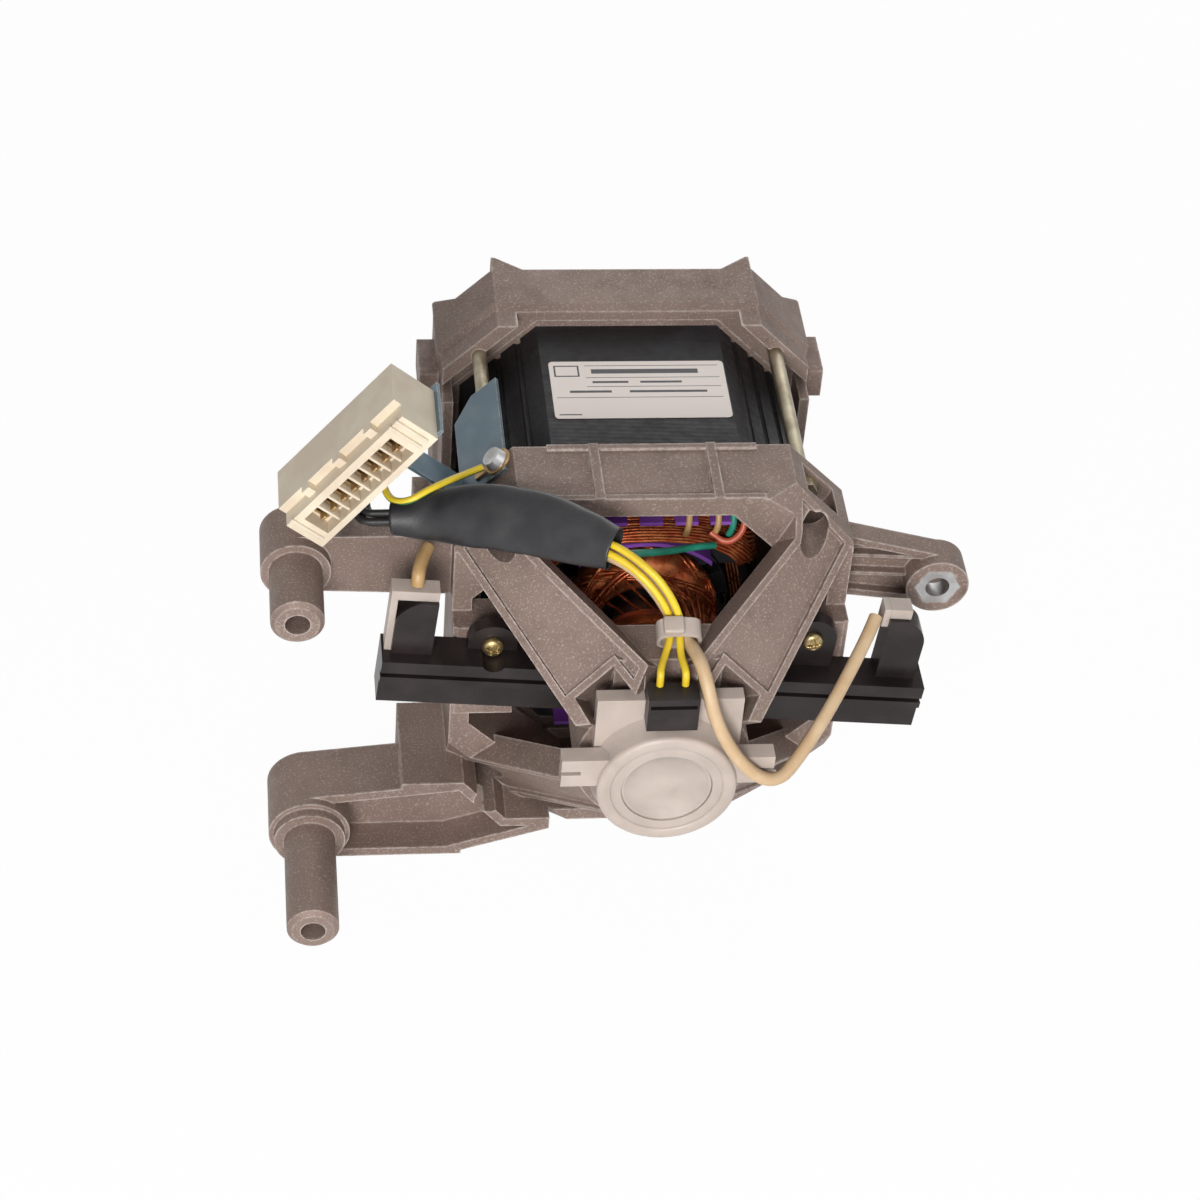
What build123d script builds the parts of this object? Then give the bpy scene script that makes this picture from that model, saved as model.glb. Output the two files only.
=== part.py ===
"""Universal brush motor of a front-loading washing machine.

Millimetres. The rotor turns about the Y axis. +Y points to the drive pulley, -Y to the
brush end, +Z up and +X to the right as seen from the brush end. The origin is on the
rotor axis in the middle of the drive pulley.
"""
from build123d import *
import os
from math import cos, pi, radians, sin, sqrt, tan

os.makedirs("parts", exist_ok=True)

# General allowances
OVERRUN = 1.0          # how far a cutting solid runs past what it cuts
SEAT_GAP = 0.05        # clearance of a part that is pushed into its seat
SLIDE_GAP = 0.3        # clearance between parts that move past each other
FILLET_SMALL = 0.6
FILLET_MEDIUM = 1.5
FILLET_LARGE = 4.0
CASTING_WALL = 5.0
SHEET = 1.2            # steel sheet of the bracket

# Stator stack
STACK_LENGTH = 77.0
STACK_HALF = 56.0              # half across the flats
STACK_FLAT_HALF = 31.0         # half length of a flat, before the cut corner
STACK_BORE_RADIUS = 30.6
YOKE_THICKNESS = 11.0
POLE_HALF_WIDTH = 22.0
POLE_SHOE = 5.4
POLE_SHOE_ANGLE = 118.0
CORNER_GROOVE_RADIUS = 1.4
CORNER_GROOVE_PITCH = 9.0
PULLEY_TO_STACK = 47.0         # middle of the pulley to the near end of the stack
STACK_DRIVE_Y = -PULLEY_TO_STACK
STACK_BRUSH_Y = STACK_DRIVE_Y - STACK_LENGTH

# Outline shared by the two end shields
FRAME_HALF = 64.4              # half across the flats
FRAME_FLAT_HALF = 44.8         # half length of a flat, to the octagon corner
BOLT_OFFSET = 50.6             # through bolt axis from the rotor axis, in X and in Z

# Drive end shield
DRIVE_LAP = 1.0                # how far its rim reaches over the stack
DRIVE_RIM_LENGTH = 22.0
DRIVE_WEB_THICKNESS = 6.0
DRIVE_BAR_REACH = 8.0          # the diagonal bars run this much further over the stack
DRIVE_BEVEL = 1.6
DRIVE_BEVEL_LENGTH = 3.4
SIDE_SKIRT_REACH = 16.0
SIDE_SKIRT_HALF_HEIGHT = 37.0
HORN_REACH = 7.0
HORN_BASE = 10.5
HORN_THICKNESS = 6.5
SIDE_LUG_THICKNESS = 5.6
SIDE_LUG_HEIGHT = 12.0
SIDE_LUG_LENGTH = 20.0
RIM_OPENING_GAP = 3.0          # between the rim and the stack's flats
DIAGONAL_GAP = 2.0             # between the diagonal bars and the stack's corners
SPOKE_HALF_WIDTH = 9.0
DRIVE_HUB_RADIUS = 26.0
DRIVE_HUB_LENGTH = 16.0

# Brush end shield
BRUSH_LAP = 2.5                # how far its rim reaches over the stack
BRUSH_RIM_LENGTH = 27.5
BRUSH_FLANGE_LEDGE = 6.0       # ledge that the stack seats on
LOW_RIM_EXTRA = 8.0            # the lower half of the rim reaches further
APRON_REACH = 6.0              # rim lip below the rotor, beyond the lower rim
APRON_HALF_WIDTH = 30.0
BAND_RIB_HALF_SPACING = 19.0
BAND_RIB_WIDTH = 3.2
BAND_RIB_HEIGHT = 1.2
BAND_LIP_WIDTH = 2.4
BAND_LIP_HEIGHT = 0.8
BRUSH_PAD_DEPTH = 14.0         # pads that carry the brush holders
BRUSH_PAD_INNER = 44.0
BRUSH_PAD_HALF_HEIGHT = 19.0
HUB_RADIUS = 28.0
HUB_TOP = 38.0
HUB_TOP_HALF_WIDTH = 17.0
HUB_LENGTH = 22.0
HUB_TOP_SETBACK = 6.0
HUB_SPIGOT = 2.4               # the sensor cap is centred on it
HUB_SHOULDER = 4.0             # wall between the bearing and the cap
HUB_Y = -200.0                 # near face of the hub
BOLT_POCKET_RADIUS = 5.2
CAVITY_HALF = 58.0             # inside of the rim
CAVITY_FLAT_HALF = 24.0
BOLT_SCALLOP_RADIUS = 9.5
BOLT_SCALLOP_LENGTH = 13.0
FACE_RIM = 2.6                 # raised edge of a strut
FACE_RECESS = 1.6              # depth of the face between the edges
STRUT_DEPTH = 10.0

# Rotor
SHAFT_RADIUS = 8.5
SHAFT_BRUSH_RADIUS = 6.0
SHAFT_STUB_RADIUS = 4.0        # carries the sensor magnet
SHAFT_CORE_RADIUS = 9.5
PULLEY_SEAT_RADIUS = 6.0
PULLEY_STUB = 3.0
ARMATURE_RADIUS = 30.0
ARMATURE_SLOTS = 12
SLOT_DEPTH = 11.0
SLOT_WIDTH = 5.0
SLOT_MOUTH = 2.2
WINDING_HEAD = 17.0            # overhang of the armature winding at the brush end
DRIVE_WINDING_HEAD = 9.5
WINDING_OUTER_RADIUS = 28.5
WINDING_INNER_RADIUS = 13.0
COMMUTATOR_RADIUS = 19.0
COMMUTATOR_LENGTH = 24.0
COMMUTATOR_BARS = 24
BAR_GROOVE = 0.8
COMMUTATOR_Y = -152.0          # end towards the armature
RISER_HEIGHT = 2.0
RISER_WIDTH = 3.0

# Bearings: bore, outside and width of the two ball bearings
DRIVE_BEARING = (17.0, 40.0, 12.0)
BRUSH_BEARING = (12.0, 32.0, 10.0)
RING_SHARE = 0.27              # share of the radial space that each ring takes
BALL_SHARE = 0.30              # ball radius as a share of the radial space
BALLS = 7
CAGE_WALL = 1.0
CAGE_SHARE = 0.5               # cage half width as a share of the ball radius
BALL_GAP = 0.15

# Drive pulley
PULLEY_LENGTH = 20.0
PULLEY_RADIUS = 10.8
PULLEY_FLANGE_RADIUS = 12.4
PULLEY_FLANGE = 1.6
RIB_PITCH = 2.34
RIB_DEPTH = 2.0
PULLEY_RIBS = 7

# Brush gear
BRUSH_ANGLE = 5.2              # the left end of the brush line is raised
HOLDER_INNER = 22.0
HOLDER_OUTER = 89.0
HOLDER_HALF_HEIGHT = 9.3
HOLDER_DEPTH = 13.5
HOLDER_BACK_Y = -157.5
BRUSH_THICKNESS = 5.0
BRUSH_WIDTH = 12.5
BRUSH_LENGTH = 30.0
BRUSH_GAP = 0.15               # brush to holder
HOLDER_FLOOR = 2.4             # closed outer end of the brush channel
EAR_RADIUS = 8.0
EAR_THICKNESS = 5.0
EAR_X = 52.0
EAR_HEIGHT = 15.8              # its screw head clears the brush at the end of its travel
TERMINAL_ARM_WIDTH = 13.0
TERMINAL_ARM_HEIGHT = 24.5
LEFT_ARM_DROP = 3.1            # the left arm is this much lower
TERMINAL_ARM_ROUND = 9.5
TERMINAL_ARM_INSET = 3.0
BOOT_STRIP = 2.2
BOOT_LENGTH = 7.0
BOOT_HEIGHT = 3.6
BOOT_SETBACK = 1.4
HOLDER_SCREW_RADIUS = 1.9
HOLDER_SCREW_HEAD = 3.5
HOLDER_SCREW_HEAD_HEIGHT = 2.6
HOLDER_SCREW_LENGTH = 10.0
HEAD_TAPER = 12.0
RAIL_DEPTH = 2.0
RAIL_HEIGHTS = (4.7, 2.4)
RAIL_GROOVE = 1.7
TERMINAL_ARM_DEPTH = 9.0
SPRING_RADIUS = 2.3
SPRING_WIRE = 0.6

# Arms that hang the motor in the washing machine
UPPER_PIN_X = -114.5
UPPER_PIN_Z = 32.0
UPPER_PIN_RADIUS = 8.6
UPPER_PIN_TIP_Y = -169.0
UPPER_BOSS_RADIUS = 11.3
UPPER_BOSS_FACE_Y = -144.0
UPPER_BOSS_LENGTH = 20.0
UPPER_ARM_TOP = 43.0
UPPER_ARM_BOTTOM = 18.0
UPPER_ARM_FACE_Y = -140.0
ARM_THICKNESS = 12.0
LOWER_PIN_X = -110.5
LOWER_PIN_Z = -61.0
LOWER_PIN_RADIUS = 8.5
LOWER_PIN_TIP_Y = -214.0
LOWER_BOSS_FACE_Y = -170.0
LOWER_COLLAR_RADIUS = 11.8
LOWER_COLLAR_LENGTH = 3.5
PIN_HOLE_RADIUS = 4.0
PIN_HOLE_DEPTH = 18.0
PIN_CHAMFER = 1.6
BEVEL = 45.0
LOWER_BEAM_BOTTOM = -75.6
LOWER_BEAM_FACE_Y = -167.0
LOWER_BEAM_DEPTH = 22.0
LOWER_BEAM_ROOT_DEPTH = 39.0
LOWER_BEAM_TOP = -42.0         # at the frame
LOWER_BEAM_LIP = 3.5
LOWER_BEAM_RECESS = 12.0
LOWER_BOSS_RADIUS = 13.5
LOWER_ROOT_X = 80.0
RIGHT_EYE_X = 96.0
RIGHT_EYE_Z = 20.5
RIGHT_EYE_RADIUS = 10.5
RIGHT_EYE_FACE_Y = -143.0
RIGHT_ARM_FACE_Y = -139.0
RIGHT_ARM_THICKNESS = 8.0
RIGHT_ARM_TOP = 41.0
RIGHT_ARM_BOTTOM = 15.5
RIGHT_ARM_RIB_SHARES = (0.25, 0.55)
RIGHT_RIB_WIDTH = 1.2
RIGHT_RIB_ANGLE = -4.0
NUT_ACROSS_FLATS = 13.0
NUT_HEIGHT = 6.5
NUT_BORE_RADIUS = 4.0          # M8

# Through bolts
BOLT_RADIUS = 2.5
BOLT_HEAD_RADIUS = 4.4
BOLT_HEAD_HEIGHT = 4.0
BOLT_FLANGE_DEPTH = 4.5        # casting between the bolt head and the stack side
BOLT_END = 14.0                # thread engagement in the drive end shield

# Speed sensor under its cap
CAP_RADIUS = 22.0
CAP_FACE_Y = -213.0
CAP_WALL = 2.0
CAP_DISC_RADIUS = 14.5
CAP_DISC_RECESS = 1.2
CAP_HEAD_HALF_WIDTH = 23.0
CAP_HEAD_TOP = 31.0
CAP_HEAD_DEPTH = 5.0
CAP_TAB_REACH = 33.6
CAP_TAB_TOP = 12.0
CAP_TAB_BOTTOM = 1.0
CAP_TAB_THICKNESS = 6.0
CAP_TAB_SLOT = 1.6
CAP_TAB_SLOT_LENGTH = 9.0
CAP_TAB_SETBACK = 1.0          # from the cap's face
CAP_FRONT = 2.8                # thickness of the cap's face
MAGNET_RADIUS = 10.5
MAGNET_LENGTH = 6.0
COIL_OUTER_RADIUS = 19.5
COIL_INNER_RADIUS = 12.0
COIL_LENGTH = 5.5
PLUG_HALF_WIDTH = 8.0
PLUG_TOP = 36.5
PLUG_BOTTOM = 23.5
PLUG_FACE_Y = -211.0
PLUG_DEPTH = 8.0
PLUG_LEDGE = 1.5

# Connector block, on the bracket above the upper left arm
CONNECTOR_ANGLE = 51.0
CONNECTOR_X = -106.2           # its lower left corner
CONNECTOR_Z = 46.0
CONNECTOR_LENGTH = 56.0
CONNECTOR_WIDTH = 17.5
CONNECTOR_DEPTH = 24.0
CONNECTOR_FACE_Y = -148.0
CONNECTOR_WALL = 1.6
CONNECTOR_STEP = 3.0           # the outer side steps back at the face
SOCKET_SHARE = 0.47            # middle of the sockets, as a share of the block's length
SOCKET_Y = 7.0
SOCKET_WIDTH = 9.6
SOCKET_MOUTH = 6.0
SOCKET_CHAMBER = 8.0
TERMINAL_COUNT = 8
TERMINAL_PITCH = 5.0
TERMINAL_WIDTH = 3.2
TERMINAL_HEIGHT = 5.6
TERMINAL_STANDOUT = 1.5
LATCH_RIBS = 3

# Bracket and earth screw on the upper left facet
BRACKET_START = 11.0           # along the facet, from its middle
BRACKET_END = -8.0
BRACKET_NEAR_Y = -130.5
BRACKET_FAR_Y = -84.0
RISER_WIDTH_Y = 12.0
BRACKET_TONGUE = 1.5
BRACKET_CORNER = 8.0
EARTH_ALONG = 8.5
EARTH_Y = -125.5
EARTH_SCREW_RADIUS = 2.0
EARTH_SCREW_LENGTH = 8.0
EARTH_HEAD_RADIUS = 4.0
EARTH_HEAD_HEIGHT = 3.0
RING_OUTER_RADIUS = 4.8
RING_THICKNESS = 0.8

# Leads
LEAD = 2.4                     # outside diameter of a single lead
BRUSH_LEAD = 4.4               # sleeved lead of the right brush
SLEEVE_WALL = 0.6
SLEEVE_MOUTH = 4.0
LEAD_SETBACK = 0.4             # end of a lead to the bottom of the sleeve's mouth
BEND_SHARE = 0.45
TIE_SPAN = 13.2
TIE_HEIGHT = 7.8
TIE_THICKNESS = 0.9
TIE_WIDTH = 3.6

# Field coils: enamelled wire shown at a thicker gauge
WIRE = 2.6
WIRE_PITCH = 3.2
COIL_TURNS = 6
COIL_LAYER_SHARE = 0.42
DRIVE_OVERHANG = 3.0
COIL_SLOT_X = 36.6
COIL_SLOT_Z = 25.0
COIL_OVERHANG = 3.0
COIL_SHOULDER_X = 24.0
COIL_HEAD_Z = 36.6
COIL_BEND = 6.0

# Coil insulators
INSULATOR_WALL = 1.4
INSULATOR_REACH = 13.0
INSULATOR_TABS = 5
TAB_WIDTH = 7.5
TAB_PITCH = 11.5
INSULATOR_COLLAR = 9.0
LINER_HEIGHT = 11.0

# Label
LABEL_WIDTH = 59.0
LABEL_LENGTH = 30.0
LABEL_THICKNESS = 0.3
LABEL_X = 1.0
LABEL_TO_BRUSH_SIDE = 27.0

# Places that follow from the sizes above
SQUARE = sqrt(2)
DRIVE_LIP_Y = STACK_DRIVE_Y - DRIVE_LAP
DRIVE_FACE_Y = DRIVE_LIP_Y + DRIVE_RIM_LENGTH
FLANGE_Y = STACK_BRUSH_Y + BRUSH_LAP
RIM_Y = FLANGE_Y - BRUSH_RIM_LENGTH
LOW_RIM_Y = RIM_Y - LOW_RIM_EXTRA
BOLT_SEAT_Y = FLANGE_Y - BOLT_FLANGE_DEPTH
HUB_BACK_Y = HUB_Y + HUB_LENGTH
FACET = (FRAME_HALF + FRAME_FLAT_HALF) / SQUARE      # rotor axis to the 45 degree facets


def across(y):
    """Plane across the motor axis, seen from the brush end: x is X, y is Z."""
    return Plane.XZ.offset(-y)


def octagon(half, flat_half, inset=0.0):
    """Corners of an octagon given by its flats, drawn in on every side by inset."""
    h = half - inset
    v = flat_half - inset * (SQUARE - 1)
    return [(v, h), (h, v), (h, -v), (v, -h), (-v, -h), (-h, -v), (-h, v), (-v, h)]


def square_corners(half):
    return [(half, half), (-half, half), (-half, -half), (half, -half)]


def brush_plane(y):
    """Plane across the motor axis whose x runs along the line of the two brushes."""
    tilt = radians(BRUSH_ANGLE)
    return Plane(origin=(0, y, 0), x_dir=(cos(tilt), 0, -sin(tilt)), z_dir=(0, -1, 0))


def facet_plane(side, up, points):
    """Plane through three points, mirrored to the side and up or down."""
    a, b, c = (Vector(side * p[0], p[1], up * p[2]) for p in points)
    normal = (b - a).cross(c - a).normalized()
    if normal.Y > 0:
        normal = normal * -1
    return Plane(origin=a, x_dir=(b - a).normalized(), z_dir=normal)


def on_plane(plane, side, up, points):
    """The points, mirrored and dropped onto the plane, in its own coordinates."""
    flat = [plane.to_local_coords(Vector(side * p[0], p[1], up * p[2])) for p in points]
    return [(p.X, p.Y) for p in flat]


# Upper left facet of the brush end: x runs along it upwards, y along the motor axis
facet_frame = Plane(origin=(-FACET / SQUARE, FLANGE_Y, FACET / SQUARE), x_dir=(1, 0, 1),
                    z_dir=(-1, 0, 1))


def save(part, name):
    part.label = name
    export_step(part, f"parts/{name}.step")


# Stator stack: yoke, two poles with their shoes, grooved corners
with BuildPart() as stator_core:
    with BuildSketch(across(STACK_DRIVE_Y)):
        Polygon(*octagon(STACK_HALF, STACK_FLAT_HALF), align=None)
        Polygon(*octagon(STACK_HALF, STACK_FLAT_HALF, YOKE_THICKNESS), align=None,
                mode=Mode.SUBTRACT)
        Rectangle(2 * POLE_HALF_WIDTH, 2 * (STACK_HALF - YOKE_THICKNESS / 2))
        with BuildSketch(mode=Mode.ADD):
            Circle(STACK_BORE_RADIUS + POLE_SHOE)
            half_angle = radians((180.0 - POLE_SHOE_ANGLE) / 2)
            Rectangle(2 * STACK_HALF, 2 * STACK_BORE_RADIUS * sin(half_angle), mode=Mode.SUBTRACT)
        Circle(STACK_BORE_RADIUS, mode=Mode.SUBTRACT)
        corner = (STACK_HALF + STACK_FLAT_HALF) / 2
        for sx, sz in square_corners(1):
            for shift in (-1, 0, 1):
                step = shift * CORNER_GROOVE_PITCH / SQUARE
                with Locations((sx * (corner - step), sz * (corner + step))):
                    Circle(CORNER_GROOVE_RADIUS, mode=Mode.SUBTRACT)
    extrude(amount=STACK_LENGTH)
save(stator_core.part, "stator_core")


# Drive end shield: rim, diagonal bars, horns, side lugs, spoked web and bearing hub
drive_seat = DRIVE_BEARING[1] / 2 + SEAT_GAP
with BuildPart() as drive_end_shield:
    with BuildSketch(across(DRIVE_FACE_Y)):
        Polygon(*octagon(FRAME_HALF, FRAME_FLAT_HALF), align=None)
    extrude(amount=DRIVE_RIM_LENGTH)
    near = drive_end_shield.faces().sort_by(Axis.Y)[0]
    chamfer(near.edges(), length=DRIVE_BEVEL, length2=DRIVE_BEVEL_LENGTH, reference=near)
    # Diagonal bars and side skirts, over the stack
    with BuildSketch(across(DRIVE_LIP_Y + DRIVE_BEVEL_LENGTH)):
        bar_inset = (FRAME_FLAT_HALF - STACK_FLAT_HALF) / 2
        for sx, sz in square_corners(1):
            Polygon((sx * FRAME_FLAT_HALF, sz * (FRAME_HALF - DRIVE_BEVEL)),
                    (sx * (FRAME_HALF - DRIVE_BEVEL), sz * FRAME_FLAT_HALF),
                    (sx * (FRAME_HALF - DRIVE_BEVEL), sz * (STACK_FLAT_HALF + bar_inset)),
                    (sx * (STACK_FLAT_HALF + bar_inset), sz * (FRAME_HALF - DRIVE_BEVEL)),
                    align=None)
    extrude(amount=DRIVE_BAR_REACH + DRIVE_BEVEL_LENGTH)
    with BuildSketch(across(DRIVE_LIP_Y + DRIVE_BEVEL_LENGTH)):
        for sx in (-1, 1):
            with Locations((sx * (FRAME_HALF - CASTING_WALL / 2 - DRIVE_BEVEL / 2), 0)):
                Rectangle(CASTING_WALL - DRIVE_BEVEL, 2 * SIDE_SKIRT_HALF_HEIGHT)
    extrude(amount=SIDE_SKIRT_REACH + DRIVE_BEVEL_LENGTH)
    # Opening over the stack, then the smaller cavity behind its end face
    stack_diagonal = (STACK_HALF + STACK_FLAT_HALF) / SQUARE
    open_half = STACK_HALF + RIM_OPENING_GAP
    open_flat = SQUARE * (stack_diagonal + DIAGONAL_GAP) - open_half
    with BuildSketch(across(STACK_DRIVE_Y)):
        Polygon(*octagon(open_half, open_flat), align=None)
    extrude(amount=SIDE_SKIRT_REACH + OVERRUN, mode=Mode.SUBTRACT)
    with BuildSketch(across(DRIVE_FACE_Y - DRIVE_WEB_THICKNESS)):
        Polygon(*octagon(STACK_HALF, STACK_FLAT_HALF, CASTING_WALL), align=None)
    extrude(amount=DRIVE_RIM_LENGTH, mode=Mode.SUBTRACT)
    # Four windows in the web leave the spokes to the bolt corners
    with BuildSketch(across(DRIVE_FACE_Y + OVERRUN)):
        Polygon(*octagon(STACK_HALF, STACK_FLAT_HALF, CASTING_WALL), align=None)
        Circle(DRIVE_HUB_RADIUS - OVERRUN, mode=Mode.SUBTRACT)
        for turn in (45, -45):
            with Locations(Location((0, 0, 0), (0, 0, turn))):
                Rectangle(4 * STACK_HALF, 2 * SPOKE_HALF_WIDTH, mode=Mode.SUBTRACT)
    extrude(amount=DRIVE_WEB_THICKNESS + 2 * OVERRUN, mode=Mode.SUBTRACT)
    # Bearing hub
    with BuildSketch(across(DRIVE_FACE_Y + HORN_REACH)):
        Circle(DRIVE_HUB_RADIUS)
    extrude(amount=DRIVE_HUB_LENGTH)
    chamfer(drive_end_shield.faces().sort_by(Axis.Y)[-1].edges(), FILLET_MEDIUM)
    # Horns at the corners of the rim
    with BuildSketch(across(DRIVE_FACE_Y)):
        for sx, sz in square_corners(1):
            Polygon((sx * FRAME_FLAT_HALF, sz * FRAME_HALF),
                    (sx * (FRAME_FLAT_HALF - HORN_BASE), sz * FRAME_HALF),
                    (sx * (FRAME_FLAT_HALF - HORN_BASE), sz * (FRAME_HALF - HORN_THICKNESS)),
                    (sx * FRAME_FLAT_HALF, sz * (FRAME_HALF - HORN_THICKNESS)), align=None)
            Polygon((sx * FRAME_HALF, sz * FRAME_FLAT_HALF),
                    (sx * (FRAME_HALF - HORN_BASE / SQUARE), sz * (FRAME_FLAT_HALF + HORN_BASE / SQUARE)),
                    (sx * (FRAME_HALF - HORN_BASE / SQUARE - HORN_THICKNESS / SQUARE),
                     sz * (FRAME_FLAT_HALF + HORN_BASE / SQUARE - HORN_THICKNESS / SQUARE)),
                    (sx * (FRAME_HALF - HORN_THICKNESS / SQUARE),
                     sz * (FRAME_FLAT_HALF - HORN_THICKNESS / SQUARE)), align=None)
    extrude(amount=-HORN_REACH)
    # The horns fall away from the corners to the rim
    for sz in (-1, 1):
        with BuildSketch(Plane.XY.offset(sz * (FRAME_HALF + OVERRUN))):
            for sx in (-1, 1):
                tip = sx * (FRAME_FLAT_HALF - 2 * FILLET_SMALL)
                Polygon((tip, DRIVE_FACE_Y + HORN_REACH),
                        (tip, DRIVE_FACE_Y + HORN_REACH + OVERRUN),
                        (sx * (FRAME_FLAT_HALF - HORN_BASE - OVERRUN), DRIVE_FACE_Y + HORN_REACH + OVERRUN),
                        (sx * (FRAME_FLAT_HALF - HORN_BASE - OVERRUN), DRIVE_FACE_Y),
                        (sx * (FRAME_FLAT_HALF - HORN_BASE), DRIVE_FACE_Y), align=None)
        extrude(amount=-sz * (HORN_THICKNESS + 2 * OVERRUN), mode=Mode.SUBTRACT)
    for sx, sz in square_corners(1):
        facet = Plane(origin=(sx * FRAME_HALF, DRIVE_FACE_Y, sz * FRAME_FLAT_HALF),
                      x_dir=(-sx, 0, sz), z_dir=(sx, 0, sz))
        # y of this plane runs along the motor axis, up or down
        way = facet.y_dir.Y
        with BuildSketch(facet.offset(OVERRUN)):
            Polygon((2 * FILLET_SMALL, way * HORN_REACH), (2 * FILLET_SMALL, way * (HORN_REACH + OVERRUN)),
                    (HORN_BASE + OVERRUN, way * (HORN_REACH + OVERRUN)), (HORN_BASE + OVERRUN, 0),
                    (HORN_BASE, 0), align=None)
        extrude(amount=-(HORN_THICKNESS + 2 * OVERRUN), mode=Mode.SUBTRACT)
    # Side lugs
    for sx in (-1, 1):
        with BuildSketch(Plane.YZ.offset(sx * (FRAME_HALF - OVERRUN))):
            for sz in (-1, 1):
                with Locations((DRIVE_LIP_Y + SIDE_LUG_LENGTH / 2,
                                sz * (SIDE_SKIRT_HALF_HEIGHT - SIDE_LUG_HEIGHT / 2))):
                    RectangleRounded(SIDE_LUG_LENGTH, SIDE_LUG_HEIGHT, FILLET_MEDIUM)
        extrude(amount=sx * (SIDE_LUG_THICKNESS + OVERRUN))
    # Tapped holes for the bolts and the stepped bearing seat
    with BuildSketch(across(DRIVE_LIP_Y + BOLT_END)):
        with Locations(*square_corners(BOLT_OFFSET)):
            Circle(BOLT_RADIUS + SEAT_GAP)
    extrude(amount=BOLT_END + DRIVE_BAR_REACH + OVERRUN, mode=Mode.SUBTRACT)
    with BuildSketch(across(DRIVE_FACE_Y + HORN_REACH - DRIVE_HUB_LENGTH + DRIVE_BEARING[2])):
        Circle(drive_seat)
    extrude(amount=DRIVE_HUB_LENGTH + OVERRUN, mode=Mode.SUBTRACT)
    with BuildSketch(across(DRIVE_FACE_Y + HORN_REACH + OVERRUN)):
        Circle(drive_seat - 2 * FILLET_MEDIUM)
    extrude(amount=DRIVE_HUB_LENGTH, mode=Mode.SUBTRACT)
save(drive_end_shield.part, "drive_end_shield")
drive_bearing_y = DRIVE_FACE_Y + HORN_REACH - DRIVE_HUB_LENGTH + DRIVE_BEARING[2] / 2


# Strut corners of the upper pair, on the right side: X, Y, Z
STRUT_ROOT = (FRAME_FLAT_HALF, -140.9, FRAME_HALF)
STRUT_SHOULDER = (43.7, -154.7, 53.1)
STRUT_RIDGE_END = (7.4, -199.0, 40.3)
STRUT_PRONG = (11.2, -204.2, 32.7)
STRUT_NOTCH = (17.5, -195.0, 36.2)
STRUT_NOTCH_OUTER = (29.2, -198.0, 25.8)
STRUT_TIP = (24.5, -205.5, 21.6)
STRUT_TIP_OUTER = (29.6, -205.0, 20.6)
STRUT_OUTER_ROOT = (FRAME_HALF, -147.4, FRAME_FLAT_HALF)
UPPER_STRUT = (STRUT_ROOT, STRUT_SHOULDER, STRUT_RIDGE_END, STRUT_PRONG, STRUT_NOTCH,
               STRUT_NOTCH_OUTER, STRUT_TIP, STRUT_TIP_OUTER, STRUT_OUTER_ROOT)

# The lower pair ends closer to the axis, behind the sensor cap
LOWER_STRUT = ((44.0, -150.0, 64.0), (6.0, -196.0, 31.0), (4.0, -200.0, 27.0),
               (24.0, -200.0, 15.0), (63.0, -150.0, 45.0))


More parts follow.
